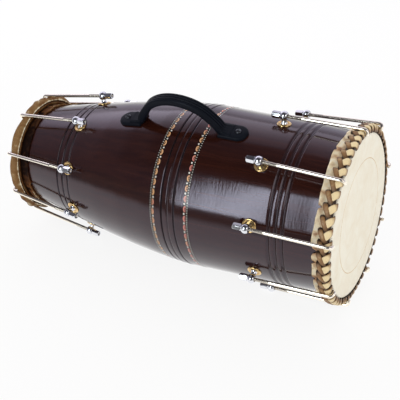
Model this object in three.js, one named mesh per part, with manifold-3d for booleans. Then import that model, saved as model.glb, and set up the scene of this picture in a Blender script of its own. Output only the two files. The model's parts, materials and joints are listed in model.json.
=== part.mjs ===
/**
 * A dholki: a two-headed barrel hand drum, tuned at both ends by hook bolts.
 *
 * The drum is built in its own frame and then laid down to rest on three of
 * its eye bolts. In its own frame the axis runs along X, with zero at the
 * belly's crest, the small treble head towards -X and the large bass head
 * towards +X. Angles round the axis are degrees from +Z towards +Y.
 * Lengths are millimetres.
 */
import * as THREE from "three";
import { mergeVertices } from "three/addons/utils/BufferGeometryUtils.js";
import Module from "manifold-3d";

const wasm = await Module();
wasm.setup();

// Shell
const bassLength = 208.5;
const trebleLength = 273;
const bellyRadius = 109;
const bassMouthRadius = 102.5;
const trebleMouthRadius = 68;
const wallThickness = 12;
const mouthChamfer = 1.5;
// Each pair holds a share of the way from the crest to the mouth, and the
// share of the whole drop in radius that the outside has made by there.
const bassProfileShares = [
  [0, 0], [0.15, 0.2], [0.3, 0.36], [0.5, 0.48], [0.7, 0.64], [0.87, 1], [1, 1],
];
const trebleProfileShares = [
  [0, 0], [0.15, 0.07], [0.3, 0.185], [0.45, 0.335],
  [0.6, 0.51], [0.75, 0.7], [0.9, 0.89], [1, 1],
];

// Turned grooves, in three sets of three
const grooveWidth = 3.8;
const grooveDepth = 1.8;
const groovesInSet = 3;
const bassGrooveInset = 67.5;
const bassGroovePitch = 8.7;
const trebleGrooveInset = 93;
const trebleGroovePitch = 10;
const bellyGroovePlace = -2;
const bellyGroovePitch = 8.75;

// Heads and rims
const hideThickness = 1.2;
const bassSkirtLength = 23;
const bassSkirtFlare = 1.4;
const trebleSkirtLength = 28;
const trebleSkirtFlare = 1.2;
const gajraWidth = 12.6;
const gajraThickness = 8.6;
const gajraStandout = 0.4;
const gajraCorner = 3;
const trebleRimRadius = 5.7;
const trebleRimInset = 5.7;

// Tuning hardware, alike at both ends
const boltsPerHead = 9;
const rodRadius = 2.3;
const hookBendRadius = 4.6;
const hookTipLength = 7.6;
const rodRecess = 2.8;
const nutAcrossFlats = 8;
const nutLength = 11;
const eyeBallRadius = 6.2;
const eyeBallWidth = 8.6;
const eyeHeight = 11.3;
const neckRadius = 3.7;
const cupRadius = 9;
const cupRimHeight = 1;
const cupHeight = 3.2;
const cupTopRadius = 6;
const shankRadius = 2.5;
const innerNutAcrossFlats = 9;
const innerNutHeight = 4;
const shankStandout = 2;

// Where the eye bolts stand: inset from the mouth, first angle, and how far
// each rod leans sideways from its eye, in degrees towards larger angles
const bassEyeInset = 99.5;
const bassFirstAngle = 40;
const bassLeans = [-8, 0, -2.5, -1, 1.5, 0, -2, 0, 0];
const trebleEyeInset = 104.3;
const trebleFirstAngle = 50;
const trebleLeans = [1.4, 0.8, 1.6, 1.2, 0.6, 0.6, 0, 0, 0];

// Handle
const handleAngle = -20;
const handlePlace = -15;
const handleRise = 43;
const gripSpan = 120;
const gripWidth = 15;
const gripThickness = 10;
const gripRound = 2.5;
const ribWidth = 1.6;
const ribDepth = 1;
const ribPitch = 3.6;
const footLength = 36;
const footWidth = 24;
const footThickness = 4.5;
const footOverlap = 3.7;
// Shares of the half span and of the rise, from a foot to the grip's middle
const gripShares = [[1, 0], [0.87, 0.27], [0.75, 0.5], [0.62, 0.7], [0.47, 0.84], [0.25, 0.957], [0, 1]];

// Fits: the gap between pieces that touch, how far a cut runs past, and how
// far each way from a place the shell's slope is taken
const clearance = 0.35;
const overrun = 4;
const slopeReach = 1;

// Facets
const shellSides = 36;
const smallSides = 8;
const rodSides = 8;
const bendSteps = 3;
const rimSides = 10;
const gripSteps = 16;
const footArcSteps = 6;

const black = new THREE.MeshStandardMaterial({ color: "#1a1a1c", roughness: 0.45, metalness: 0 });
const wood = new THREE.MeshStandardMaterial({ color: "#3a211c", roughness: 0.18, metalness: 0 });
const skin = new THREE.MeshStandardMaterial({ color: "#e9e3d2", roughness: 0.6, metalness: 0 });
const plait = new THREE.MeshStandardMaterial({ color: "#d8c090", roughness: 0.7, metalness: 0 });
const wrap = new THREE.MeshStandardMaterial({ color: "#a98a5e", roughness: 0.65, metalness: 0 });
const chrome = new THREE.MeshStandardMaterial({ color: "#d5d6da", roughness: 0.15, metalness: 1 });

// Solids

/** Six times the volume that a list of triangles holds, negative if they face in. */
function signedVolume(positions, corners) {
  const [a, b, c] = [new THREE.Vector3(), new THREE.Vector3(), new THREE.Vector3()];
  let total = 0;
  for (let i = 0; i < corners.length; i += 3) {
    a.fromArray(positions, 3 * corners[i]);
    b.fromArray(positions, 3 * corners[i + 1]);
    c.fromArray(positions, 3 * corners[i + 2]);
    total += a.dot(b.cross(c));
  }
  return total;
}

/** The solid of a closed geometry: corners merged, flat triangles dropped, facing out. */
function solidOf(geometry) {
  const bare = geometry.clone();
  bare.deleteAttribute("normal");
  bare.deleteAttribute("uv");
  const merged = mergeVertices(bare);
  const positions = merged.getAttribute("position").array;
  const all = merged.getIndex().array;
  const corners = [];
  for (let i = 0; i < all.length; i += 3) {
    const [a, b, c] = all.slice(i, i + 3);
    if (a !== b && b !== c && c !== a) corners.push(a, b, c);
  }
  if (signedVolume(positions, corners) < 0) corners.reverse();
  const vertProperties = new Float32Array(positions);
  const triVerts = new Uint32Array(corners);
  return new wasm.Manifold(new wasm.Mesh({ numProp: 3, vertProperties, triVerts }));
}

/** The geometry of a solid. */
function geometryOf(solid) {
  const mesh = solid.getMesh();
  const positions = new Float32Array(mesh.vertProperties);
  const geometry = new THREE.BufferGeometry();
  geometry.setAttribute("position", new THREE.BufferAttribute(positions, 3));
  geometry.setIndex(new THREE.BufferAttribute(new Uint32Array(mesh.triVerts), 1));
  geometry.computeVertexNormals();
  return geometry;
}

/** A named mesh of a solid. */
function meshOf(name, solid, material) {
  const mesh = new THREE.Mesh(geometryOf(solid), material);
  mesh.name = name;
  return mesh;
}

/** A turned geometry about X, from [place, radius] points. */
function turnedAboutX(points, sides) {
  const outline = points.map(([place, radius]) => new THREE.Vector2(radius, place));
  const geometry = new THREE.LatheGeometry(outline, sides, Math.PI / sides, 2 * Math.PI);
  return geometry.rotateZ(-Math.PI / 2);
}

/** A turned geometry about Z, from [height, radius] points. */
function turnedAboutZ(points, sides) {
  const outline = points.map(([height, radius]) => new THREE.Vector2(radius, height));
  const geometry = new THREE.LatheGeometry(outline, sides, Math.PI / sides, 2 * Math.PI);
  return geometry.rotateX(Math.PI / 2);
}

/**
 * A bar whose section follows a path in the XZ plane. Each stop on the path
 * has a place and the angle by which the bar has turned from X towards -Z.
 * Section points are [across along Y, up from the bar].
 */
function barAlong(stops, section) {
  const positions = [];
  for (const { place, turn } of stops) {
    for (const [across, up] of section) {
      positions.push(place.x + up * Math.sin(turn), across, place.y + up * Math.cos(turn));
    }
  }
  const count = section.length;
  const corners = [];
  for (let ring = 0; ring < stops.length - 1; ring += 1) {
    for (let side = 0; side < count; side += 1) {
      const a = ring * count + side;
      const b = ring * count + ((side + 1) % count);
      corners.push(a, b, a + count, b, b + count, a + count);
    }
  }
  const last = (stops.length - 1) * count;
  const outline = section.map(([across, up]) => new THREE.Vector2(across, up));
  for (const [a, b, c] of THREE.ShapeUtils.triangulateShape(outline, [])) {
    corners.push(a, c, b, last + a, last + b, last + c);
  }
  const geometry = new THREE.BufferGeometry();
  geometry.setAttribute("position", new THREE.Float32BufferAttribute(positions, 3));
  geometry.setIndex(corners);
  return geometry;
}

/** Section points of a round bar. */
function roundSection(radius, sides) {
  const turns = Array.from({ length: sides }, (_, i) => (2 * Math.PI * i) / sides);
  return turns.map((turn) => [radius * Math.cos(turn), radius * Math.sin(turn)]);
}

/** The vertex radius of a faceted bore that leaves the fit's clearance round a pin. */
function boreRadius(pinRadius, sides) {
  return (pinRadius + clearance) / Math.cos(Math.PI / sides);
}

/** A regular hexagon round the origin, from its size across flats. */
function hexagonalShape(acrossFlats) {
  const radius = acrossFlats / 2 / Math.cos(Math.PI / 6);
  return new THREE.Shape(roundSection(radius, 6).map(([x, y]) => new THREE.Vector2(x, y)));
}

// Shell

const flatShare = Math.cos(Math.PI / shellSides);

/** The profile of the half of the shell that a place along the axis lies in. */
function shellHalf(place) {
  return place < 0
    ? { length: trebleLength, mouth: trebleMouthRadius, shares: trebleProfileShares }
    : { length: bassLength, mouth: bassMouthRadius, shares: bassProfileShares };
}

/** The shell's outer radius at a place along the axis. */
function shellRadiusAt(place) {
  const { length, mouth, shares } = shellHalf(place);
  const along = Math.min(Math.abs(place) / length, 1);
  const next = Math.max(1, shares.findIndex(([share]) => share >= along));
  const [[fromPlace, fromDrop], [toPlace, toDrop]] = [shares[next - 1], shares[next]];
  const drop = THREE.MathUtils.mapLinear(along, fromPlace, toPlace, fromDrop, toDrop);
  return bellyRadius - drop * (bellyRadius - mouth);
}

/** How steeply the shell falls towards its nearer mouth at a place, as an angle. */
function shellFallAt(place) {
  const towards = Math.sign(place);
  const near = shellRadiusAt(place - towards * slopeReach);
  const far = shellRadiusAt(place + towards * slopeReach);
  return Math.atan2((near - far) * flatShare, 2 * slopeReach);
}

const shellStations = [
  ...trebleProfileShares.slice(1).reverse().map(([share]) => -share * trebleLength),
  ...bassProfileShares.map(([share]) => share * bassLength),
];

/** The centres of one set of grooves. */
function grooveSet(middle, pitch) {
  const first = middle - ((groovesInSet - 1) / 2) * pitch;
  return Array.from({ length: groovesInSet }, (_, index) => first + index * pitch);
}

const grooveCentres = [
  ...grooveSet(trebleGrooveInset - trebleLength, trebleGroovePitch),
  ...grooveSet(bellyGroovePlace, bellyGroovePitch),
  ...grooveSet(bassLength - bassGrooveInset, bassGroovePitch),
];

/** The shell's outside from mouth to mouth, with its grooves. */
function shellOutline() {
  const half = grooveWidth / 2;
  const isPlain = (x) => grooveCentres.every((g) => Math.abs(x - g) > half);
  const plain = shellStations.slice(1, -1).filter(isPlain).map((x) => [x, shellRadiusAt(x)]);
  const grooves = grooveCentres.flatMap((g) => [
    [g - half, shellRadiusAt(g - half)],
    [g, shellRadiusAt(g) - grooveDepth],
    [g + half, shellRadiusAt(g + half)],
  ]);
  const middle = [...plain, ...grooves].sort(([a], [b]) => a - b);
  return [
    [-trebleLength, trebleMouthRadius - mouthChamfer],
    [mouthChamfer - trebleLength, shellRadiusAt(mouthChamfer - trebleLength)],
    ...middle,
    [bassLength - mouthChamfer, shellRadiusAt(bassLength - mouthChamfer)],
    [bassLength, bassMouthRadius - mouthChamfer],
  ];
}

/** The shell before its bolt holes: a barrel with an open bore. */
function plainShell() {
  const outside = shellOutline();
  const bore = shellStations.map((x) => [x, shellRadiusAt(x) - wallThickness]).reverse();
  return solidOf(turnedAboutX([...outside, ...bore, outside[0]], shellSides));
}

/** A solid barrel that stands off the shell's outside by the fit's clearance. */
function barrelRoundShell() {
  const outside = shellStations.map((x) => [x, shellRadiusAt(x) + clearance]);
  const [first, last] = [outside[0][0], outside[outside.length - 1][0]];
  return solidOf(turnedAboutX([[first, 0], ...outside, [last, 0]], shellSides));
}

// Heads and rims

/**
 * A taut rawhide head: the playing face, the lap over the shell's edge and the
 * loose skirt. Places are distances out from the belly's crest.
 */
function headProfile({ length, mouth, lapEnd, skirtEnd, flare, towards }) {
  const radiusAt = (out) => shellRadiusAt(towards * out);
  const inner = [
    [length + clearance, 0],
    [length + clearance, mouth + clearance],
    [lapEnd, radiusAt(lapEnd) + clearance],
    [skirtEnd, radiusAt(skirtEnd) + clearance + flare],
  ];
  const outer = [
    [skirtEnd, radiusAt(skirtEnd) + clearance + flare + hideThickness],
    [lapEnd, radiusAt(lapEnd) + clearance + hideThickness],
    [length, mouth + clearance + hideThickness],
    [length + clearance + hideThickness, mouth + clearance],
    [length + clearance + hideThickness, 0],
  ];
  return [...inner, ...outer].map(([out, radius]) => [towards * out, radius]);
}

const bassFacePlace = bassLength + clearance + hideThickness;
const gajraMiddle = bassFacePlace + gajraStandout - gajraWidth / 2;
const gajraRadius = bassMouthRadius + clearance + hideThickness + clearance + gajraThickness / 2;

/** The large head. */
function bassSkin() {
  const profile = headProfile({
    length: bassLength,
    mouth: bassMouthRadius,
    lapEnd: gajraMiddle - gajraWidth / 2,
    skirtEnd: bassLength - bassSkirtLength,
    flare: bassSkirtFlare,
    towards: 1,
  });
  return solidOf(turnedAboutX(profile, shellSides));
}

/** The plaited ring that holds the bass head, as a plain band with eased corners. */
function bassGajra() {
  const [wide, thick] = [gajraWidth / 2, gajraThickness / 2];
  const section = [
    [-wide, gajraCorner - thick],
    [gajraCorner - wide, -thick],
    [wide - gajraCorner, -thick],
    [wide, gajraCorner - thick],
    [wide, thick - gajraCorner],
    [wide - gajraCorner, thick],
    [gajraCorner - wide, thick],
    [-wide, thick - gajraCorner],
  ];
  const ring = [...section, section[0]].map(([x, r]) => [gajraMiddle + x, gajraRadius + r]);
  return solidOf(turnedAboutX(ring, shellSides));
}

const trebleRimMiddle = trebleLength - trebleRimInset;
const trebleFall = shellFallAt(-trebleRimMiddle);
const trebleRimSeat = shellRadiusAt(-trebleRimMiddle) + clearance + hideThickness;
const trebleRimRingRadius = trebleRimSeat + (trebleRimRadius + clearance) / Math.cos(trebleFall);

/** The small head. */
function trebleSkin() {
  const profile = headProfile({
    length: trebleLength,
    mouth: trebleMouthRadius,
    lapEnd: trebleRimMiddle - trebleRimRadius,
    skirtEnd: trebleLength - trebleSkirtLength,
    flare: trebleSkirtFlare,
    towards: -1,
  });
  return solidOf(turnedAboutX(profile, shellSides));
}

/** The hide-wrapped hoop that holds the treble head. */
function trebleRim() {
  const section = roundSection(trebleRimRadius, rimSides);
  const ring = [...section, section[0]].map(([x, r]) => [x - trebleRimMiddle, trebleRimRingRadius + r]);
  return solidOf(turnedAboutX(ring, shellSides));
}

// Tuning hardware

/**
 * One head's set of bolts. The eye bolts stand square to the shell, and each
 * rod runs from its eye past the crest of the rim, so its slope follows from
 * where the eye and the rim are.
 */
function boltSet({ name, towards, eyePlace, firstAngle, leans, rim }) {
  const fall = shellFallAt(towards * eyePlace);
  const seatRadius = shellRadiusAt(towards * eyePlace) * flatShare;
  const height = clearance + eyeHeight;
  const eyeOut = eyePlace + height * Math.sin(fall);
  const eyeRadius = seatRadius + height * Math.cos(fall);
  const along = rim.place - eyeOut;
  const down = eyeRadius - rim.radius;
  const standoff = rim.halfHeight + clearance + rodRadius;
  const slope = Math.acos(standoff / Math.hypot(along, down)) - Math.atan2(along, down);
  const rimAlongRod = along * Math.cos(slope) + down * Math.sin(slope);
  const hookReach = rimAlongRod + rim.halfWidth + clearance + rodRadius;
  return { name, towards, fall, eyeOut, eyeRadius, slope, hookReach, firstAngle, leans };
}

const bassBolts = boltSet({
  name: "bass",
  towards: 1,
  eyePlace: bassLength - bassEyeInset,
  firstAngle: bassFirstAngle,
  leans: bassLeans,
  rim: {
    place: gajraMiddle,
    radius: gajraRadius,
    halfWidth: gajraWidth / 2,
    halfHeight: gajraThickness / 2,
  },
});

const trebleBolts = boltSet({
  name: "treble",
  towards: -1,
  eyePlace: trebleLength - trebleEyeInset,
  firstAngle: trebleFirstAngle,
  leans: trebleLeans,
  rim: {
    place: trebleRimMiddle,
    radius: trebleRimRingRadius,
    halfWidth: trebleRimRadius,
    halfHeight: trebleRimRadius,
  },
});

/** The angle round the axis of one bolt of a set, in radians. */
function boltAngle(set, index) {
  return THREE.MathUtils.degToRad(set.firstAngle - (index * 360) / boltsPerHead);
}

/**
 * The frame of one eye bolt: the origin in the eye, X towards the head and Z
 * square out of the shell.
 */
function eyeFrame(set, index) {
  const place = new THREE.Matrix4().makeTranslation(set.towards * set.eyeOut, 0, set.eyeRadius);
  const facing = new THREE.Matrix4().makeRotationZ(set.towards > 0 ? 0 : Math.PI);
  const square = new THREE.Matrix4().makeRotationY(set.fall);
  const round = new THREE.Matrix4().makeRotationX(-boltAngle(set, index));
  return round.multiply(place).multiply(facing).multiply(square);
}

/** The turn from the eye bolt's frame to its rod's frame, whose X runs along the rod. */
function rodTurn(set, index) {
  const lean = THREE.MathUtils.degToRad(set.towards * set.leans[index]);
  const sideways = new THREE.Matrix4().makeRotationZ(lean);
  return sideways.multiply(new THREE.Matrix4().makeRotationY(set.slope - set.fall));
}

/** How thick the wall is along an eye bolt's shank. */
function wallThrough(set) {
  return wallThickness * flatShare * Math.cos(set.fall);
}

/** A hole in the shell for one eye bolt's shank, a pin that reaches past both faces. */
function shankHole(set, index) {
  const top = overrun - eyeHeight - clearance;
  const depth = wallThrough(set) + 2 * overrun;
  const hole = new THREE.CylinderGeometry(1, 1, 1, smallSides);
  const radius = boreRadius(shankRadius, smallSides);
  hole.rotateX(Math.PI / 2).rotateZ(Math.PI / smallSides);
  hole.scale(radius, radius, depth).translate(0, 0, top - depth / 2);
  return solidOf(hole.applyMatrix4(eyeFrame(set, index)));
}

/** The drilled ball that a rod passes through, with its bore along X. */
function eyeBall() {
  const half = eyeBallWidth / 2;
  const edge = Math.sqrt(eyeBallRadius ** 2 - half ** 2);
  const shoulder = half / 2;
  const shoulderRadius = Math.sqrt(eyeBallRadius ** 2 - shoulder ** 2);
  const bore = boreRadius(rodRadius, smallSides);
  const ring = [
    [-half, bore], [-half, edge], [-shoulder, shoulderRadius], [0, eyeBallRadius],
    [shoulder, shoulderRadius], [half, edge], [half, bore], [-half, bore],
  ];
  return turnedAboutX(ring, smallSides);
}

/** Where the inner nut's top is, below the eye. */
function innerNutTop(set) {
  return -eyeHeight - clearance - wallThrough(set) - clearance;
}

/** The neck, the cup washer that spreads the load, and the shank through the wall. */
function eyeStem(set) {
  const neckTop = -(rodRadius + eyeBallRadius) / 2;
  const cupTop = cupHeight - eyeHeight;
  const shankEnd = innerNutTop(set) - innerNutHeight - shankStandout;
  return turnedAboutZ([
    [neckTop, 0], [neckTop, neckRadius], [cupTop, neckRadius], [cupTop, cupTopRadius],
    [cupRimHeight - eyeHeight, cupRadius], [-eyeHeight, cupRadius],
    [-eyeHeight, shankRadius], [shankEnd, shankRadius], [shankEnd, 0],
  ], smallSides);
}

/** The nut on the shank inside the shell. */
function innerNut(set) {
  const options = { depth: innerNutHeight, bevelEnabled: false };
  const nut = new THREE.ExtrudeGeometry(hexagonalShape(innerNutAcrossFlats), options);
  return nut.translate(0, 0, innerNutTop(set) - innerNutHeight);
}

/** One eye bolt: drilled ball, neck, cup washer, shank and inner nut. */
function eyeBolt(set, index) {
  const ball = solidOf(eyeBall().applyMatrix4(rodTurn(set, index)));
  return ball.add(solidOf(eyeStem(set))).add(solidOf(innerNut(set)));
}

const nutStart = -eyeBallWidth / 2 - clearance;

/** The long nut that draws the rod back through the eye. */
function tuningNut() {
  const shape = hexagonalShape(nutAcrossFlats);
  const bore = roundSection(boreRadius(rodRadius, smallSides), smallSides);
  shape.holes.push(new THREE.Path(bore.map(([x, y]) => new THREE.Vector2(x, y))));
  const nut = new THREE.ExtrudeGeometry(shape, { depth: nutLength, bevelEnabled: false });
  return nut.rotateY(Math.PI / 2).translate(nutStart - nutLength, 0, 0);
}

/** The hook bolt: a rod from inside its nut to the rim, bent in over the rim's front. */
function hookBolt(set, index) {
  const lean = THREE.MathUtils.degToRad(set.leans[index]);
  const reach = set.hookReach / Math.cos(lean);
  const start = nutStart - nutLength + rodRecess;
  const stops = [{ place: new THREE.Vector2(start, 0), turn: 0 }];
  for (let step = 0; step <= bendSteps; step += 1) {
    const turn = (Math.PI / 2) * (step / bendSteps);
    const x = reach - hookBendRadius * (1 - Math.sin(turn));
    const z = hookBendRadius * (Math.cos(turn) - 1);
    stops.push({ place: new THREE.Vector2(x, z), turn });
  }
  stops.push({ place: new THREE.Vector2(reach, -hookTipLength), turn: Math.PI / 2 });
  return barAlong(stops, roundSection(rodRadius, rodSides));
}

/** All the hardware of one head. */
function boltGroup(set) {
  const group = new THREE.Group();
  const nut = solidOf(tuningNut());
  for (let index = 0; index < boltsPerHead; index += 1) {
    const eye = new THREE.Group();
    eye.applyMatrix4(eyeFrame(set, index));
    eye.add(meshOf(`${set.name}_eye_bolt_${index + 1}`, eyeBolt(set, index), chrome));
    const rod = new THREE.Group();
    rod.applyMatrix4(rodTurn(set, index));
    rod.add(meshOf(`${set.name}_tuning_nut_${index + 1}`, nut, chrome));
    rod.add(meshOf(`${set.name}_hook_bolt_${index + 1}`, solidOf(hookBolt(set, index)), chrome));
    eye.add(rod);
    group.add(eye);
  }
  return group;
}

// Handle

/** The grip's section, counterclockwise: a rounded bar with grooves along its top. */
function gripSection() {
  const [wide, thick] = [gripWidth / 2, gripThickness / 2];
  const top = [ribPitch, 0, -ribPitch].flatMap((middle) => [
    [middle + ribWidth / 2, thick],
    [middle, thick - ribDepth],
    [middle - ribWidth / 2, thick],
  ]);
  return [
    [-wide, gripRound - thick], [gripRound - wide, -thick],
    [wide - gripRound, -thick], [wide, gripRound - thick],
    [wide, thick - gripRound], [wide - gripRound, thick], ...top,
    [gripRound - wide, thick], [-wide, thick - gripRound],
  ];
}

/** The outside radius of a foot's top at a place on the shell's flat. */
function footTopAt(place) {
  return shellRadiusAt(place) * flatShare + clearance + footThickness;
}

/** The grip: an arch from one foot to the other. */
function grip() {
  const top = bellyRadius + handleRise - gripThickness / 2;
  const points = [];
  for (const side of [-1, 1]) {
    const foot = footTopAt(handlePlace + (side * gripSpan) / 2);
    const half = gripShares.map(([out, up]) => {
      const height = THREE.MathUtils.lerp(foot - footThickness / 2, top, up);
      return new THREE.Vector3((side * out * gripSpan) / 2, height, 0);
    });
    points.push(...(side < 0 ? half : half.reverse().slice(1)));
  }
  const curve = new THREE.CatmullRomCurve3(points);
  const stops = Array.from({ length: gripSteps + 1 }, (_, i) => {
    const at = curve.getPointAt(i / gripSteps);
    const tangent = curve.getTangentAt(i / gripSteps);
    const place = new THREE.Vector2(handlePlace + at.x, at.y);
    return { place, turn: Math.atan2(-tangent.y, tangent.x) };
  });
  return solidOf(barAlong(stops, gripSection()));
}

/**
 * A foot: a pad with a round outer end that starts under the grip's end and
 * follows the shell's slope.
 */
function foot(side) {
  const middle = handlePlace + side * (gripSpan / 2 - footOverlap + footLength / 2);
  const half = footWidth / 2;
  const straight = footLength - half;
  const shape = new THREE.Shape();
  shape.moveTo(0, -half);
  shape.lineTo(straight, -half);
  shape.absarc(straight, 0, half, -Math.PI / 2, Math.PI / 2, false);
  shape.lineTo(0, half);
  const depth = footThickness + overrun;
  const pad = new THREE.ExtrudeGeometry(shape, {
    depth,
    bevelEnabled: false,
    curveSegments: footArcSteps,
  });
  pad.translate(-footLength / 2, 0, -depth);
  if (side < 0) pad.rotateZ(Math.PI);
  const fall = Math.sign(middle) * shellFallAt(middle);
  return solidOf(pad.rotateY(fall).translate(middle, 0, footTopAt(middle)));
}

/** The moulded handle, with the undersides of its feet shaped to the shell. */
function handle() {
  const moulding = grip().add(foot(-1)).add(foot(1));
  const round = new THREE.Matrix4().makeRotationX(-THREE.MathUtils.degToRad(handleAngle));
  const placed = solidOf(geometryOf(moulding).applyMatrix4(round));
  return placed.subtract(barrelRoundShell());
}

// The whole drum

/** The shell with a hole for every eye bolt. */
function shell() {
  let solid = plainShell();
  for (const set of [bassBolts, trebleBolts]) {
    for (let index = 0; index < boltsPerHead; index += 1) {
      solid = solid.subtract(shankHole(set, index));
    }
  }
  return solid;
}

/** How far below the axis the lowest eye of a set lies when the drum's axis is level. */
function lowestEye(set) {
  const angles = Array.from({ length: boltsPerHead }, (_, index) => boltAngle(set, index));
  return Math.max(...angles.map((angle) => -set.eyeRadius * Math.cos(angle)));
}

const drum = new THREE.Group();
drum.add(meshOf("shell", shell(), wood));
drum.add(meshOf("bass_skin", bassSkin(), skin));
drum.add(meshOf("bass_gajra", bassGajra(), plait));
drum.add(meshOf("treble_skin", trebleSkin(), skin));
drum.add(meshOf("treble_rim", trebleRim(), wrap));
drum.add(meshOf("handle", handle(), black));
drum.add(boltGroup(bassBolts));
drum.add(boltGroup(trebleBolts));

// The drum lies on its lowest eyes, so its axis tips down towards the treble end.
const drop = lowestEye(bassBolts) - lowestEye(trebleBolts);
drum.rotation.y = -Math.atan2(drop, bassBolts.eyeOut + trebleBolts.eyeOut);

const model = new THREE.Group();
model.add(drum);
model.updateMatrixWorld(true);
const bounds = new THREE.Box3().setFromObject(drum, true);
const middle = bounds.getCenter(new THREE.Vector3());
drum.position.set(-middle.x, -middle.y, -bounds.min.z);
model.updateMatrixWorld(true);

export default model;
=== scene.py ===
"""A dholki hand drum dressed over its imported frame, in a plain pale studio.

Every shape is worked out in the drum's own millimetres: X runs along the
barrel from the belly's crest towards the large bass head, and angles round the
barrel are measured from +Z towards +Y. The drum's place in the row frame comes
from the two head faces that the record names.
"""

import json
import logging
import math
from dataclasses import dataclass
from enum import Enum
from typing import Any, Iterable, Sequence

import bmesh
import bpy
import numpy as np
from mathutils import Matrix, Vector


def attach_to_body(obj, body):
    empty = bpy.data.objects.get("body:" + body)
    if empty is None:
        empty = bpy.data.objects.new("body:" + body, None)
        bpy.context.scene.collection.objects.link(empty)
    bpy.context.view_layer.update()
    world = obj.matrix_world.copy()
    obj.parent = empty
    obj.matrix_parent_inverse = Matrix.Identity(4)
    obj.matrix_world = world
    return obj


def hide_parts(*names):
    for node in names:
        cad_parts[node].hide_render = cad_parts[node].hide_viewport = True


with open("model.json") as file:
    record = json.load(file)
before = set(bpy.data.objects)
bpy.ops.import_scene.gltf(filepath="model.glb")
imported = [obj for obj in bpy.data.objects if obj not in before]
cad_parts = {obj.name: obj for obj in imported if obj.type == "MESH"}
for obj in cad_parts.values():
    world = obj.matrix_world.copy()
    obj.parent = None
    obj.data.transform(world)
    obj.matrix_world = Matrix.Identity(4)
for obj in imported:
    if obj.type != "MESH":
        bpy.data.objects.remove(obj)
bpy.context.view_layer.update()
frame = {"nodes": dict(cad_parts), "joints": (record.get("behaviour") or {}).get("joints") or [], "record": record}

Tree = bpy.types.NodeTree
Socket = bpy.types.NodeSocket
Mesh = bpy.types.Mesh
Piece = bpy.types.Object
Inputs = dict[Any, Any]
Stops = Sequence[tuple[float, str]]

log = logging.getLogger("dholki")

MM = 0.001
TURN = 2 * math.pi
SHADE = "shade"

# The kinds of node that are added most

ATTRIBUTE = "ShaderNodeAttribute"
BUMP = "ShaderNodeBump"
CELLS = "ShaderNodeTexVoronoi"
COMBINE = "ShaderNodeCombineXYZ"
COORDINATE = "ShaderNodeTexCoord"
EMISSION = "ShaderNodeEmission"
MAPPING = "ShaderNodeMapping"
MATH = "ShaderNodeMath"
MIX = "ShaderNodeMix"
NOISE = "ShaderNodeTexNoise"
RAMP = "ShaderNodeValToRGB"
RANGE = "ShaderNodeMapRange"
SEPARATE = "ShaderNodeSeparateXYZ"

# Small helpers


def linear(code: str) -> tuple[float, float, float, float]:
    """Turns an sRGB hex colour to linear.

    Args:
        code: The colour, as in "#2b120b".

    Returns:
        Red, green, blue and alpha.
    """
    channels = [int(code[i:i + 2], 16) / 255 for i in (1, 3, 5)]
    bent = [c / 12.92 if c <= 0.04045 else ((c + 0.055) / 1.055) ** 2.4 for c in channels]
    return (*bent, 1.0)


def feed(tree: Tree, node: bpy.types.Node, inputs: Inputs) -> None:
    """Sets a node's inputs, and links those for which a socket is given.

    Args:
        tree: The tree that the node is in.
        node: The node.
        inputs: Values and sockets, keyed by the input's name or index.
    """
    for key, value in inputs.items():
        if isinstance(value, Socket):
            tree.links.new(value, node.inputs[key])
        else:
            node.inputs[key].default_value = value


def add(
    tree: Tree, kind: str, inputs: Inputs | None = None, output: Any = 0, stops: Stops = (), **settings: Any,
) -> Any:
    """Adds one node to a tree.

    Args:
        tree: The tree that the node joins.
        kind: The node's type.
        inputs: What each input holds or is fed by, keyed by name or index.
        output: The output that is wanted, by name or index.
        stops: A colour ramp's places and hex colours.
        **settings: The node's own properties.

    Returns:
        That output, or nothing where the node has none.
    """
    node = tree.nodes.new(kind)
    for name, value in settings.items():
        setattr(node, name, value)
    feed(tree, node, inputs or {})
    for index, (place, code) in enumerate(stops):
        ramp = node.color_ramp.elements
        stop = ramp[index] if index < len(ramp) else ramp.new(place)
        stop.position, stop.color = place, linear(code)
    return node.outputs[output] if node.outputs else None


def round_noise(angles: np.ndarray, seed: int, waves: Sequence[int]) -> np.ndarray:
    """A seeded wavering round the drum that meets itself.

    Args:
        angles: Where it is wanted, in radians.
        seed: The seed of its phases and strengths.
        waves: How many times each part of it repeats in one turn.

    Returns:
        A value for each angle, mostly between -1 and 1.
    """
    weakest, strongest, peak = 0.5, 1.0, 1.4
    rng = np.random.default_rng(seed)
    total = np.zeros_like(angles)
    for wave in waves:
        total += rng.uniform(weakest, strongest) * np.sin(wave * angles + rng.uniform(0, TURN))
    return total / ((weakest + strongest) / 2 * math.sqrt(len(waves)) * peak)


def round_hump(angles: np.ndarray, middle: float, wide: float) -> np.ndarray:
    """A single hump round the drum that fades on both sides.

    Args:
        angles: Where it is wanted, in radians.
        middle: Its middle, in degrees.
        wide: How far off it has fallen to about a third, in degrees.

    Returns:
        Its height at each angle, from 0 to 1.
    """
    away = (angles - math.radians(middle) + math.pi) % TURN - math.pi
    return np.exp(-(away / math.radians(wide)) ** 2)


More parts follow.
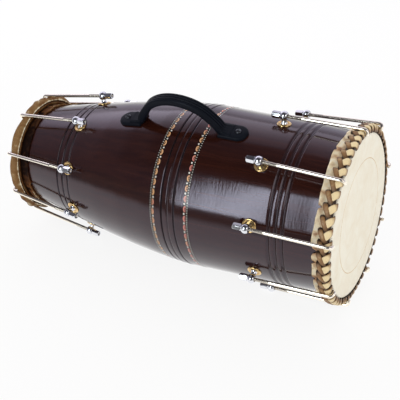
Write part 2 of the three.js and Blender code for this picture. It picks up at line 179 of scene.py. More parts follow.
@dataclass(frozen=True)
class DrumFrame:
    """The drum's own axes inside the row frame."""

    origin: np.ndarray
    axes: np.ndarray

    @classmethod
    def from_record(cls, record: dict[str, Any], bass_face: float) -> "DrumFrame":
        """Finds the drum's axes from its two head faces.

        Args:
            record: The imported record.
            bass_face: The bass face's place along the drum, in millimetres.

        Returns:
            The frame.
        """
        faces = {mount["name"]: np.array(mount["pos_m"]) / MM for mount in record["mounts"]}
        bass, treble = faces["bass_head_face"], faces["treble_head_face"]
        along = (bass - treble) / np.linalg.norm(bass - treble)
        across = np.array([0.0, 1.0, 0.0])
        across -= along * (across @ along)
        across /= np.linalg.norm(across)
        up = np.cross(along, across)
        return cls(bass - bass_face * along, np.column_stack([along, across, up]))

    def to_drum(self, points: np.ndarray) -> np.ndarray:
        """Points of the row frame in metres, as the drum's millimetres."""
        return (np.asarray(points) / MM - self.origin) @ self.axes

    def turn_to_drum(self, direction: Sequence[float]) -> np.ndarray:
        """A direction of the row frame, in the drum's axes."""
        return np.asarray(direction) @ self.axes

    @property
    def matrix(self) -> Matrix:
        """The move from the drum's millimetres to the row frame's metres.

        Returns:
            A four by four matrix.
        """
        move = np.eye(4)
        move[:3] = np.column_stack([self.axes, self.origin]) * MM
        return Matrix(move)

    @property
    def tip(self) -> float:
        """How far the drum's axis tips up from level, in radians."""
        return math.atan2(self.axes[2][0], self.axes[0][0])


class Form:
    """Points in millimetres with faces, and one shade for each point."""

    def __init__(self) -> None:
        """Starts empty."""
        self.points: list[np.ndarray] = []
        self.shades: list[np.ndarray] = []
        self.faces: list[tuple[int, ...]] = []
        self.count = 0

    def add(self, points: Any, faces: Iterable[Sequence[int]], shade: Any = 0.0) -> "Form":
        """Adds points and faces.

        Args:
            points: The points.
            faces: Corner lists that count from the first of these points.
            shade: One shade, or one for each point.

        Returns:
            The form itself.
        """
        points = np.asarray(points, float).reshape(-1, 3)
        self.faces += [tuple(corner + self.count for corner in face) for face in faces]
        self.points.append(points)
        self.shades.append(np.broadcast_to(np.asarray(shade, float).ravel(), len(points)).copy())
        self.count += len(points)
        return self

    def loft(self, rings: Any, shade: Any = 0.0, loop: bool = False, caps: bool = False) -> "Form":
        """Joins closed rings of points in their order.

        Args:
            rings: An array of rings, points and coordinates.
            shade: One shade, one for each ring, or one for each point.
            loop: Whether the last ring joins the first.
            caps: Whether the first and last rings are closed by a fan.

        Returns:
            The form itself.
        """
        rings = np.asarray(rings, float)
        many, around = rings.shape[:2]
        values = np.asarray(shade, float)
        if values.ndim == 1:
            values = values[:, None]
        values = np.broadcast_to(values, (many, around)).ravel()
        besides = [(step, (step + 1) % around) for step in range(around)]
        faces: list[tuple[int, ...]] = []
        for ring in range(many if loop else many - 1):
            here, after = ring * around, (ring + 1) % many * around
            faces += [(here + s, here + t, after + t, after + s) for s, t in besides]
        points = rings.reshape(-1, 3)
        if caps:
            points = np.vstack([points, *[end.mean(axis=0)[None] for end in (rings[0], rings[-1])]])
            values = np.concatenate([values, [values[0], values[-1]]])
            base, last = many * around, (many - 1) * around
            for step, beside in besides:
                faces.append((beside, step, base))
                faces.append((last + step, last + beside, base + 1))
        return self.add(points, faces, values)

    def sheet(self, rows: Any, shade: float = 0.0) -> "Form":
        """Joins open rows of points into one sheet.

        Args:
            rows: An array of rows, points and coordinates.
            shade: The sheet's shade.

        Returns:
            The form itself.
        """
        rows = np.asarray(rows, float)
        many, across = rows.shape[:2]
        faces = [
            (r * across + c, r * across + c + 1, (r + 1) * across + c + 1, (r + 1) * across + c)
            for r in range(many - 1) for c in range(across - 1)
        ]
        return self.add(rows, faces, shade)

    def moved(self, matrix: Matrix | np.ndarray) -> "Form":
        """A copy moved by a four by four matrix.

        Args:
            matrix: The move.

        Returns:
            The copy.
        """
        move = np.array(matrix)
        points = np.vstack(self.points) @ move[:3, :3].T + move[:3, 3]
        return Form().add(points, self.faces, np.concatenate(self.shades))

    def join(self, other: "Form") -> "Form":
        """Takes in another form."""
        return self.add(np.vstack(other.points), other.faces, np.concatenate(other.shades))

    def mesh(self, name: str, closed: bool = True, weld: float = 1e-4) -> Mesh:
        """Makes a mesh in millimetres.

        Args:
            name: The mesh's name.
            closed: Whether its faces are turned outwards as on a closed skin.
            weld: How close two points are to be made one, or 0 to leave them.

        Returns:
            The mesh.
        """
        mesh = bpy.data.meshes.new(name)
        mesh.from_pydata(np.vstack(self.points).tolist(), [], self.faces)
        attribute = mesh.attributes.new(SHADE, "FLOAT", "POINT")
        attribute.data.foreach_set("value", np.concatenate(self.shades).astype(np.float32))
        work = bmesh.new()
        work.from_mesh(mesh)
        if weld:
            bmesh.ops.remove_doubles(work, verts=work.verts, dist=weld)
        if closed:
            bmesh.ops.recalc_face_normals(work, faces=work.faces)
        work.to_mesh(mesh)
        work.free()
        return mesh


class Rings:
    """Rings of points about X, gathered one after another."""

    def __init__(self, sides: int) -> None:
        """Starts without a ring.

        Args:
            sides: How many points each ring has.
        """
        self.turns = np.linspace(0, TURN, sides, endpoint=False)
        self.points: list[np.ndarray] = []
        self.shades: list[np.ndarray] = []

    @classmethod
    def turned(cls, profile: Iterable[Sequence[float]], sides: int) -> "Rings":
        """Turns a profile, as on a lathe.

        Args:
            profile: Places along X with a radius each, and a shade where there is one.
            sides: How many points each ring has.

        Returns:
            The rings.
        """
        rings = cls(sides)
        for row in profile:
            rings.add(*row)
        return rings

    def add(self, place: Any, radius: Any, shade: Any = 0.0) -> None:
        """Adds one ring.

        Args:
            place: Its place along X, or one for each point.
            radius: Its radius, or one for each point.
            shade: Its shade, or one for each point.
        """
        x, r, tone = (np.broadcast_to(value, self.turns.shape) for value in (place, radius, shade))
        self.points.append(np.column_stack([x, r * np.sin(self.turns), r * np.cos(self.turns)]))
        self.shades.append(tone)

    def form(self, loop: bool = False, caps: bool = False, standing: bool = False) -> Form:
        """Joins the rings.

        Args:
            loop: Whether the last ring joins the first.
            caps: Whether the first and last rings are closed by a fan.
            standing: Whether the rings are set about Z instead of X.

        Returns:
            The form.
        """
        points = np.array(self.points)
        if standing:
            points = points[:, :, [1, 2, 0]]
        return Form().loft(points, np.array(self.shades), loop, caps)


# Finishes


@dataclass(frozen=True)
class Clouds:
    """How coarse a noise is, how it is broken up and how far it is drawn out."""

    per_metre: float
    detail: float
    roughness: float = 0.5
    distortion: float = 0.0
    scale: tuple[float, float, float] | None = None


@dataclass(frozen=True)
class Relief:
    """How far a height stands out of a surface."""

    strength: float
    depth: float

    def of(self, height: Socket) -> Inputs:
        """What a bump's inputs hold for this relief."""
        return {"Height": height, "Strength": self.strength, "Distance": self.depth * MM}


@dataclass(frozen=True)
class Ground:
    """What a finish is laid on: a material's tree, the place on the drum and the shade."""

    tree: Tree
    drum: Socket
    shade: Socket

    def put(self, kind: str, inputs: Inputs, output: Any = 0, **settings: Any) -> Socket:
        """Adds one node and gives the output that is wanted."""
        return add(self.tree, kind, inputs, output, **settings)

    def lay(self, clouds: Clouds) -> Socket:
        """Lays a noise over the drum, drawn out along or round it where it says so.

        Args:
            clouds: The noise.

        Returns:
            Its strength.
        """
        place = self.drum
        if clouds.scale:
            place = self.put(MAPPING, {"Vector": place, "Scale": clouds.scale})
        return self.put(NOISE, {
            "Vector": place, "Scale": clouds.per_metre, "Detail": clouds.detail,
            "Roughness": clouds.roughness, "Distortion": clouds.distortion,
        })


class Finish:
    """What every finish has: one material, made when it is first asked for."""

    made: dict[str, bpy.types.Material] = {}

    def dress(self, on: Ground) -> Inputs:
        """Builds the nodes; each finish has its own.

        Args:
            on: What the finish is laid on.

        Returns:
            What the shader's inputs hold or are fed by.
        """
        raise NotImplementedError

    def material(self, place: DrumFrame) -> bpy.types.Material:
        """The finish as a material.

        Args:
            place: The drum's frame, for patterns that run along or round it.

        Returns:
            The material.
        """
        name = type(self).__name__
        if name not in Finish.made:
            material = bpy.data.materials.new(name)
            material.use_nodes = True
            tree = material.node_tree
            inputs = {
                "Vector": add(tree, COORDINATE, output="Object"), "Location": Vector(place.origin * MM),
                "Rotation": (0.0, -place.tip, 0.0),
            }
            drum = add(tree, MAPPING, inputs, vector_type="TEXTURE")
            shade = add(tree, ATTRIBUTE, output="Fac", attribute_name=SHADE)
            feed(tree, tree.nodes["Principled BSDF"], self.dress(Ground(tree, drum, shade)))
            Finish.made[name] = material
        return Finish.made[name]


@dataclass(frozen=True)
class LacqueredWood(Finish):
    """Turned hardwood, stained deep red-brown, under clear gloss lacquer.

    The grain runs along the barrel and shows only as darker streaks. The
    lathe's rings under the lacquer break up the edges of what it mirrors. The
    shade gives the grooves a duller floor and a darker one; the darker colour
    is painted shade in the grooves.
    """

    dark: str = "#230c07"
    brown: str = "#34180f"
    # Painted shade: the colour of the groove floors.
    groove: str = "#100503"
    mirrored: str = "#eeeaff"
    grain: Clouds = Clouds(1 / (7.0 * MM), 5.0, 0.6, 0.6, scale=(0.07, 1.0, 1.0))
    lathe: Clouds = Clouds(1 / (2.2 * MM), 3.0, 0.65, scale=(1.0, 0.2, 0.2))
    cut: Relief = Relief(0.5, 0.18)
    polished: float = 0.13
    unpolished: float = 0.55
    index: float = 1.5

    def dress(self, on: Ground) -> Inputs:
        """Streaks along the barrel in colour, lathe rings round it in the gloss.

        Args:
            on: What the finish is laid on.

        Returns:
            What the shader's inputs hold or are fed by.
        """
        stops = [(0.3, self.dark), (0.72, self.brown)]
        stain = on.put(RAMP, {"Fac": on.lay(self.grain)}, stops=stops)
        gloss = {"Value": on.shade, "To Min": self.polished, "To Max": self.unpolished}
        return {
            # The shade mixes in the groove colour, painted shade on the groove floors.
            "Base Color": on.put(MIX, {0: on.shade, 6: stain, 7: linear(self.groove)}, 2, data_type="RGBA"),
            "Roughness": on.put(RANGE, gloss), "Normal": on.put(BUMP, self.cut.of(on.lay(self.lathe))),
            "IOR": self.index, "Specular Tint": linear(self.mirrored),
        }


@dataclass(frozen=True)
class Rawhide(Finish):
    """Goat rawhide, scraped pale and stretched wet over the shell.

    It is matte and creamy, with blotches some 20 mm wide and fibres of about a
    millimetre, and browner where the shade says that it was folded or wetted.
    """

    pale: str = "#f6f1e0"
    blotch: str = "#efe6d0"
    wetted: str = "#f2e0b9"
    folded: str = "#b2855a"
    scorched: str = "#6e4a2a"
    blotches: Clouds = Clouds(45.0, 6.0, 0.6, 0.8)
    ragged: Clouds = Clouds(210.0, 5.0, 0.7, 0.6, scale=(0.45, 1.0, 1.0))
    ragged_share: float = 1.7
    ragged_least: float = 0.15
    stain_onset: float = 6.0
    fibres: Clouds = Clouds(900.0, 3.0, 0.7, 1.5)
    skin: Relief = Relief(0.35, 0.2)
    gloss: float = 0.55

    def dress(self, on: Ground) -> Inputs:
        """Blotches, fibres, and stains by the shade with ragged edges.

        Args:
            on: What the finish is laid on.

        Returns:
            What the shader's inputs hold or are fed by.
        """
        stops = [(0.35, self.blotch), (0.62, self.pale)]
        cream = on.put(RAMP, {"Fac": on.lay(self.blotches)}, stops=stops)
        inputs = {0: on.lay(self.ragged), 1: self.ragged_share, 2: self.ragged_least}
        spread = on.put(MATH, inputs, operation="MULTIPLY_ADD")
        worn = on.put(MATH, {0: on.shade, 1: spread}, operation="MULTIPLY", use_clamp=True)
        stops = [(0.1, self.pale), (0.22, self.wetted), (0.6, self.folded), (0.95, self.scorched)]
        stained = on.put(RAMP, {"Fac": worn}, stops=stops)
        share = on.put(MATH, {0: worn, 1: self.stain_onset}, operation="MULTIPLY", use_clamp=True)
        return {
            "Base Color": on.put(MIX, {0: share, 6: cream, 7: stained}, 2, data_type="RGBA"),
            "Normal": on.put(BUMP, self.skin.of(on.lay(self.fibres))), "Roughness": self.gloss,
        }


@dataclass(frozen=True)
class HideStrip(Finish):
    """Strips of raw hide, plaited damp and dried hard.

    The grain side is cream and slightly shiny; the flesh side is browner. The
    shade gives these, and also paints shade, down to near black, where strips
    are tucked away, turn down over an edge or leave a gap over the core.
    Stains a few millimetres wide mottle it.
    """

    # The near-black end of these colours is painted shade.
    colours: Stops = ((0.05, "#ecd7a9"), (0.5, "#8f6b45"), (0.95, "#2e1c0e"))
    stains: Clouds = Clouds(170.0, 5.0, 0.65, 0.5)
    stain_share: float = 0.5
    fibres: Clouds = Clouds(700.0, 4.0, 0.7, 1.0)
    skin: Relief = Relief(0.4, 0.25)
    gloss: float = 0.44
    specular: float = 0.3

    def dress(self, on: Ground) -> Inputs:
        """The shade's own colour, mottled by stains, over fibres or wrinkles.

        Args:
            on: What the finish is laid on.

        Returns:
            What the shader's inputs hold or are fed by.
        """
        inputs = {0: on.lay(self.stains), 1: self.stain_share, 2: -self.stain_share / 2}
        centred = on.put(MATH, inputs, operation="MULTIPLY_ADD")
        mixed = on.put(MATH, {0: on.shade, 1: centred}, operation="ADD", use_clamp=True)
        return {
            "Base Color": on.put(RAMP, {"Fac": mixed}, stops=self.colours),
            "Normal": on.put(BUMP, self.skin.of(on.lay(self.fibres))), "Roughness": self.gloss,
            "Specular IOR Level": self.specular,
        }


@dataclass(frozen=True)
class TanHide(HideStrip):
    """Thick tan hide rolled wet round a hoop, with a cut edge and a rough skirt.

    The shade runs from a dark red-brown, which is painted shade where the roll
    shades the lap and skirt and on the roll's own underside, through tan to the
    cream of a fresh cut. Wrinkles and blotches a few millimetres wide break it
    up.
    """

    # The darkest stop is painted shade.
    colours: Stops = ((0.05, "#180602"), (0.4, "#6b4222"), (0.65, "#8a6b44"), (0.92, "#efe4c8"))
    stains: Clouds = Clouds(120.0, 6.0, 0.7, 0.7)
    stain_share: float = 0.56
    fibres: Clouds = Clouds(420.0, 5.0, 0.65, 1.2)
    skin: Relief = Relief(0.6, 0.4)
    gloss: float = 0.6
    specular: float = 0.12


@dataclass(frozen=True)
class ChromePlate(Finish):
    """Bright chrome plate on turned steel: near mirror, faintly hazed by handling."""

    silver: str = "#d2d3d8"
    worn: str = "#9c9a98"
    smooth: float = 0.06
    rough: float = 0.16
    haze: Clouds = Clouds(120.0, 3.0)

    def dress(self, on: Ground) -> Inputs:
        """A haze in the gloss, and wear by the shade.

        Args:
            on: What the finish is laid on.

        Returns:
            What the shader's inputs hold or are fed by.
        """
        gloss = {"Value": on.lay(self.haze), "To Min": self.smooth, "To Max": self.rough}
        colours = {0: on.shade, 6: linear(self.silver), 7: linear(self.worn)}
        return {
            "Base Color": on.put(MIX, colours, 2, data_type="RGBA"), "Roughness": on.put(RANGE, gloss),
            "Metallic": 1.0,
        }


@dataclass(frozen=True)
class DullPlate(ChromePlate):
    """Thin plate on drawn rod: a warm soft grey, duller where the thread is cut."""

    silver: str = "#e8e0d2"
    worn: str = "#b3aba0"
    smooth: float = 0.17
    rough: float = 0.3


@dataclass(frozen=True)
class BlackedSteel(ChromePlate):
    """Screws of oil-blacked steel: dark, with a soft shine broken by oil patches."""

    silver: str = "#4a4b50"
    worn: str = "#4a4b50"
    smooth: float = 0.25
    rough: float = 0.45
    haze: Clouds = Clouds(400.0, 3.0)


@dataclass(frozen=True)
class PressedBrass(Finish):
    """Cup washers pressed from brass sheet: yellow metal, duller in the recess."""

    bright: str = "#dcbc84"
    dull: str = "#8a6a38"
    tarnish: Clouds = Clouds(350.0, 4.0)
    tarnish_least: float = 0.12
    gloss: float = 0.22

    def dress(self, on: Ground) -> Inputs:
        """Tarnish by the shade and by a fine noise.

        Args:
            on: What the finish is laid on.

        Returns:
            What the shader's inputs hold or are fed by.
        """
        inputs = {0: on.shade, 1: on.lay(self.tarnish), 2: self.tarnish_least}
        share = on.put(MATH, inputs, operation="MULTIPLY_ADD", use_clamp=True)
        colours = {0: share, 6: linear(self.bright), 7: linear(self.dull)}
        return {
            "Base Color": on.put(MIX, colours, 2, data_type="RGBA"), "Roughness": self.gloss,
            "Metallic": 1.0,
        }


class Cells(Enum):
    """What a cellular relief shows; the value is the node's own word."""

    BUMPS = "SMOOTH_F1"
    CRACKS = "DISTANCE_TO_EDGE"


@dataclass(frozen=True)
class MouldedPlastic(Finish):
    """Black moulded plastic with a leather grain from its tool and a faint bloom.

    The real grain is about 0.6 mm; it is drawn at 1 mm so that it shows.
    """

    black: str = "#0e1118"
    bloom: str = "#161a23"
    cells: Cells = Cells.BUMPS
    cells_per_metre: float = 1000.0
    cell: Relief = Relief(0.2, 0.2)
    patches: Clouds = Clouds(60.0, 4.0)
    gloss: float = 0.4
    specular: float = 0.05

    def dress(self, on: Ground) -> Inputs:
        """A cellular relief, and two blacks in patches.

        Args:
            on: What the finish is laid on.

        Returns:
            What the shader's inputs hold or are fed by.
        """
        inputs = {"Vector": on.drum, "Scale": self.cells_per_metre}
        cells = on.put(CELLS, inputs, "Distance", feature=self.cells.value)
        colours = {0: on.lay(self.patches), 6: linear(self.black), 7: linear(self.bloom)}
        return {
            "Base Color": on.put(MIX, colours, 2, data_type="RGBA"),
            "Normal": on.put(BUMP, self.cell.of(cells)), "Roughness": self.gloss,
            "Specular IOR Level": self.specular,
        }


@dataclass(frozen=True)
class TuningPaste(MouldedPlastic):
    """Black paste of iron dust and gum, rubbed on in layers until it crazes.

    The crazing is some 1.5 mm wide, under a greyer bloom.
    """

    black: str = "#100f10"
    bloom: str = "#2c2a2b"
    cells: Cells = Cells.CRACKS
    cells_per_metre: float = 650.0
    cell: Relief = Relief(0.5, 0.2)
    patches: Clouds = Clouds(300.0, 5.0)
    gloss: float = 0.6
    specular: float = 0.5


class Paint(Enum):
    """The border's paints; the value is the shade that picks one."""

    GROUND = 0.0
    BEAD = 0.5
    WARM = 1.0


@dataclass(frozen=True)
class BorderPaint(Finish):
    """Hand-laid enamel on the lacquer: black ground, pale beads, warm arches.

    The arches drift from cream and orange on the treble side to coral on the
    bass side, as a painter's mixing does.
    """

    ground: str = "#0b0706"
    bead: str = "#e6e2da"
    first: str = "#e6b283"
    second: str = "#d98a7e"
    drift: Clouds = Clouds(38.0, 1.0)
    drift_along: float = 4.0
    gloss: float = 0.16

    def dress(self, on: Ground) -> Inputs:
        """Three paints picked by the shade.

        Args:
            on: What the finish is laid on.

        Returns:
            What the shader's inputs hold or are fed by.
        """
        along = on.put(SEPARATE, {0: on.drum}, "X")
        inputs = {0: along, 1: self.drift_along, 2: on.lay(self.drift)}
        lean = on.put(MATH, inputs, operation="MULTIPLY_ADD")
        warm = on.put(RAMP, {"Fac": lean}, stops=[(0.42, self.first), (0.58, self.second)])
        plain = on.put(RAMP, {"Fac": on.shade}, stops=[(0.2, self.ground), (0.3, self.bead)])
        between = (Paint.BEAD.value + Paint.WARM.value) / 2
        is_warm = on.put(MATH, {0: on.shade, 1: between}, operation="GREATER_THAN")
        colour = on.put(MIX, {0: is_warm, 6: plain, 7: warm}, 2, data_type="RGBA")
        return {"Base Color": colour, "Roughness": self.gloss}


# Geometry Nodes


class UnitTree:
    """A Geometry Nodes tree that repeats the mesh it is put on, and its baking."""

    numbers: tuple[str, ...] = ()
    counts: tuple[str, ...] = ("Count",)

    def __init__(self, name: str) -> None:
        """Makes the tree: its named inputs, its own nodes, the material and the output.

        Args:
            name: The tree's name.
        """
        self.tree = bpy.data.node_groups.new(name, "GeometryNodeTree")
        kinds = [("Geometry", "NodeSocketGeometry")]
        kinds += [(label, "NodeSocketFloat") for label in self.numbers]
        kinds += [(label, "NodeSocketInt") for label in self.counts]
        kinds += [("Material", "NodeSocketMaterial")]
        for label, kind in kinds:
            self.tree.interface.new_socket(label, in_out="INPUT", socket_type=kind)
        self.tree.interface.new_socket("Geometry", in_out="OUTPUT", socket_type="NodeSocketGeometry")
        given = add(self.tree, "NodeGroupInput").node.outputs
        inputs = {"Geometry": self.build(given), "Material": given["Material"]}
        add(self.tree, "NodeGroupOutput", {"Geometry": self.put("GeometryNodeSetMaterial", inputs)})

    def put(self, kind: str, inputs: Inputs | None = None, output: Any = 0, **settings: Any) -> Socket:
        """Adds one node and gives the output that is wanted."""
        return add(self.tree, kind, inputs, output, **settings)

    def circle(self, radius: Socket, angle: Socket, along: Any) -> Socket:
        """A point round the drum.

        Args:
            radius: How far off the drum's axis it is.
            angle: Its angle round the drum.
            along: Its place along X.

        Returns:
            The point.
        """
        sine, cosine = (self.put(MATH, {0: angle}, operation=name) for name in ("SINE", "COSINE"))
        return self.put(COMBINE, {
            "X": along,
            "Y": self.put(MATH, {0: radius, 1: sine}, operation="MULTIPLY"),
            "Z": self.put(MATH, {0: radius, 1: cosine}, operation="MULTIPLY"),
        })

    def build(self, given: Any) -> Socket:
        """Builds the tree's nodes; each tree has its own.

        Args:
            given: The tree's inputs by name.

        Returns:
            The geometry.
        """
        raise NotImplementedError

    def repeat(self, points: Socket, unit: Socket, stance: Socket) -> Socket:
        """Puts a unit on each point and makes the copies real.

        Args:
            points: The points.
            unit: The unit's geometry.
            stance: How each copy is turned.

        Returns:
            The geometry.
        """
        inputs = {"Points": points, "Instance": unit, "Rotation": stance}
        copies = self.put("GeometryNodeInstanceOnPoints", inputs)
        return self.put("GeometryNodeRealizeInstances", {"Geometry": copies})

    def bake(self, unit: Mesh, values: Inputs) -> Mesh:
        """Repeats a unit and keeps the result as a plain mesh.

        Args:
            unit: The mesh that is repeated, in the drum's millimetres.
            values: The tree's inputs by name.

        Returns:
            The mesh.
        """
        carrier = bpy.data.objects.new(unit.name, unit)
        bpy.context.collection.objects.link(carrier)
        modifier = carrier.modifiers.new(self.tree.name, "NODES")
        modifier.node_group = self.tree
        for item in self.tree.interface.items_tree:
            if item.item_type == "SOCKET" and item.in_out == "INPUT" and item.name in values:
                modifier[item.identifier] = values[item.name]
        graph = bpy.context.evaluated_depsgraph_get()
        mesh = bpy.data.meshes.new_from_object(
            carrier.evaluated_get(graph), preserve_all_data_layers=True, depsgraph=graph,
        )
        carrier.modifiers.clear()
        bpy.data.objects.remove(carrier)
        return mesh


class WrappedRow(UnitTree):
    """Repeats a flat unit in a row and wraps the row round the barrel once.

    The unit lies with X along the barrel, Y along the row and Z outwards.
    """

    numbers = ("Radius", "Slope", "Place", "Shift", "Twist", "Drift", "Drift Angle")
    counts = ("Count", "Seed")

    def build(self, given: Any) -> Socket:
        """Sets out the row, scatters it a little, makes it real and wraps it.

        Args:
            given: The tree's inputs by name.

        Returns:
            The geometry.
        """
        put = self.put
        girth = put(MATH, {0: given["Radius"], 1: TURN}, operation="MULTIPLY")
        pitch = put(MATH, {0: girth, 1: given["Count"]}, operation="DIVIDE")
        step = put(COMBINE, {"Y": pitch})
        row = put("GeometryNodeMeshLine", {"Count": given["Count"], "Offset": step}, mode="OFFSET")
        reach = put(COMBINE, {"X": given["Shift"], "Y": given["Shift"]})
        back = put("ShaderNodeVectorMath", {0: reach, "Scale": -1.0}, operation="SCALE")
        inputs = {"Min": back, "Max": reach, "Seed": given["Seed"]}
        scatter = put("FunctionNodeRandomValue", inputs, data_type="FLOAT_VECTOR")
        points = put("GeometryNodeSetPosition", {"Geometry": row, "Offset": scatter})
        left = put(MATH, {0: given["Twist"], 1: -1.0}, operation="MULTIPLY")
        inputs = {2: left, 3: given["Twist"], "Seed": given["Seed"]}
        lean = put("FunctionNodeRandomValue", inputs, 1)
        real = self.repeat(points, given["Geometry"], put(COMBINE, {"Z": lean}))
        flat = put(SEPARATE, {0: put("GeometryNodeInputPosition")}).node.outputs
        even = put(MATH, {0: flat["Y"], 1: given["Radius"]}, operation="DIVIDE")
        off = put(MATH, {0: even, 1: given["Drift Angle"]}, operation="SUBTRACT")
        swing = put(MATH, {0: off, 1: 2.0}, operation="MULTIPLY")
        wave = put(MATH, {0: swing}, operation="SINE")
        angle = put(MATH, {0: wave, 1: given["Drift"], 2: even}, operation="MULTIPLY_ADD")
        inputs = {0: flat["X"], 1: given["Slope"], 2: given["Radius"]}
        rise = put(MATH, inputs, operation="MULTIPLY_ADD")
        out = put(MATH, {0: rise, 1: flat["Z"]}, operation="ADD")
        along = put(MATH, {0: flat["X"], 1: given["Place"]}, operation="ADD")
        wrapped = self.circle(out, angle, along)
        return put("GeometryNodeSetPosition", {"Geometry": real, "Position": wrapped})


class StandingRow(UnitTree):
    """Stands a rigid unit square on the barrel at even steps round it or along it.

    The unit's Z is square to the barrel and its X points towards the head.
    """

    stepped = ("Place", "Radius", "Fall", "Angle")
    numbers = (*stepped, "Place Step", "Radius Step", "Fall Step", "Angle Step", "Towards")

    def build(self, given: Any) -> Socket:
        """Works out each unit's place and stance from its number in the row.

        Args:
            given: The tree's inputs by name.

        Returns:
            The geometry.
        """
        put = self.put
        number = put("GeometryNodeInputIndex")
        place, radius, fall, angle = (
            put(MATH, {0: number, 1: given[f"{name} Step"], 2: given[name]}, operation="MULTIPLY_ADD")
            for name in self.stepped
        )
        level, drop = (put(MATH, {0: fall}, operation=name) for name in ("COSINE", "SINE"))
        ahead = put(MATH, {0: given["Towards"], 1: drop}, operation="MULTIPLY")
        stand, square = self.circle(radius, angle, place), self.circle(level, angle, ahead)
        inputs = {"Primary Axis": square, "Secondary Axis": put(COMBINE, {"X": given["Towards"]})}
        stance = put("FunctionNodeAxesToRotation", inputs, primary_axis="Z", secondary_axis="X")
        row = put("GeometryNodeMeshLine", {"Count": given["Count"]}, mode="OFFSET")
        points = put("GeometryNodeSetPosition", {"Geometry": row, "Position": stand})
        return self.repeat(points, given["Geometry"], stance)


# The drum's pieces


@dataclass(frozen=True)
class Bench:
    """The drum's frame and the two trees: what every piece is made with."""

    drum: DrumFrame
    rows: WrappedRow
    standing: StandingRow

    def piece(self, name: str, mesh: Mesh, finish: Finish, sharp: float = 40.0) -> Piece:
        """Moves a mesh to the row frame and makes a finished piece of it.

        Args:
            name: The piece's name.
            mesh: Its shape in the drum's millimetres.
            finish: What it is finished in.
            sharp: The angle in degrees past which an edge stays sharp.

        Returns:
            The piece.
        """
        mesh.name = name
        mesh.transform(self.drum.matrix)
        mesh.materials.clear()
        mesh.materials.append(finish.material(self.drum))
        mesh.shade_smooth()
        mesh.set_sharp_from_angle(angle=math.radians(sharp))
        made = bpy.data.objects.new(name, mesh)
        bpy.context.collection.objects.link(made)
        return made

    def repeated(
        self, name: str, unit: Form, finish: Finish, tree: UnitTree, values: Inputs, solid: bool = True,
    ) -> Piece:
        """Makes a finished piece of a unit that a tree repeats.

        Args:
            name: The piece's name.
            unit: The form that is repeated.
            finish: What it is finished in.
            tree: The tree that repeats it.
            values: The tree's inputs by name.
            solid: Whether the unit is a closed solid, not paint laid as a sheet.

        Returns:
            The piece.
        """
        mesh = unit.mesh(f"{name}_unit", solid, weld=1e-4 if solid else 0.0)
        baked = tree.bake(mesh, {**values, "Material": finish.material(self.drum)})
        return self.piece(name, baked, finish)


def attach(made: Piece, nodes: Sequence[str], body: str = "drum") -> None:
    """Parents a piece to its body and hides the CAD nodes that it stands for.

    Args:
        made: The piece.
        nodes: The CAD nodes.
        body: The body that it rides.
    """
    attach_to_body(made, body)
    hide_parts(*nodes)
    log.info("%s: %d faces on %s", made.name, len(made.data.polygons), body)


@dataclass(frozen=True)
class Barrel:
    """The turned shell's outside, as the CAD has it, with its corners eased.

    A pair of shares is how far along from the belly to a mouth, and how much of
    the fall in radius is done there.
    """

    bass_length: float = 208.5
    treble_length: float = 273.0
    belly_radius: float = 109.0
    bass_mouth: float = 102.5
    treble_mouth: float = 68.0
    wall: float = 12.0
    gap: float = 0.35
    hide: float = 1.2
    ease: float = 7.0
    ease_steps: int = 9
    ease_spread: float = 2.2
    run_out: float = 40.0
    bass_shares: tuple[tuple[float, float], ...] = (
        (0, 0), (0.15, 0.2), (0.3, 0.36), (0.5, 0.48), (0.7, 0.64), (0.87, 1), (1, 1),
    )
    treble_shares: tuple[tuple[float, float], ...] = (
        (0, 0), (0.15, 0.07), (0.3, 0.185), (0.45, 0.335), (0.6, 0.51), (0.75, 0.7), (0.9, 0.89), (1, 1),
    )

    @property
    def bass_face(self) -> float:
        """The place of the bass head's playing face."""
        return self.bass_length + self.gap + self.hide

    @property
    def treble_face(self) -> float:
        """The place of the treble head's playing face."""
        return -self.treble_length - self.gap - self.hide

    def radius(self, place: Any) -> Any:
        """The outside radius along the drum.

        Args:
            place: One place, or many.

        Returns:
            The radius at each.
        """
        bass_drop, treble_drop = self.belly_radius - self.bass_mouth, self.belly_radius - self.treble_mouth
        treble = self.treble_shares[:0:-1]
        places = [-share * self.treble_length for share, _ in treble]
        radii = [self.belly_radius - drop * treble_drop for _, drop in treble]
        places += [share * self.bass_length for share, _ in self.bass_shares]
        radii += [self.belly_radius - drop * bass_drop for _, drop in self.bass_shares]
        run = (radii[1] - radii[0]) / (places[1] - places[0])
        places = [places[0] - self.run_out, *places, places[-1] + self.run_out]
        radii = [radii[0] - self.run_out * run, *radii, radii[-1]]
        total, weight = 0.0, 0.0
        for shift in np.linspace(-1, 1, self.ease_steps):
            share = math.cos(shift * math.pi / self.ease_spread)
            total = total + share * np.interp(np.asarray(place) + shift * self.ease, places, radii)
            weight += share
        return total / weight

    def fall(self, place: float) -> float:
        """How steeply the outside falls towards the nearer mouth.

        Args:
            place: Where along the drum.

        Returns:
            The angle in radians.
        """
        towards = math.copysign(1.0, place)
        drop = self.radius(place - towards) - self.radius(place + towards)
        return math.atan2(float(drop), 2.0)


@dataclass(frozen=True)
class GrooveSet:
    """Three grooves turned side by side, of which the middle one may be shallower."""

    middle: float
    step: float
    width: float
    depth: float
    middle_share: float = 1.0
    # How much painted shade its grooves get, as a share.
    burnt: float = 1.0

    def cut(self, place: float) -> float:
        """How deep the turner's tool has cut at a place.

        Args:
            place: Where along the drum.

        Returns:
            The depth.
        """
        total = 0.0
        for number, share in ((-1, 1.0), (0, self.middle_share), (1, 1.0)):
            groove = self.middle + number * self.step
            off = min(abs(place - groove) / self.width * 2, 1.0)
            total += share * self.depth * (0.5 + 0.5 * math.cos(math.pi * off))
        return total


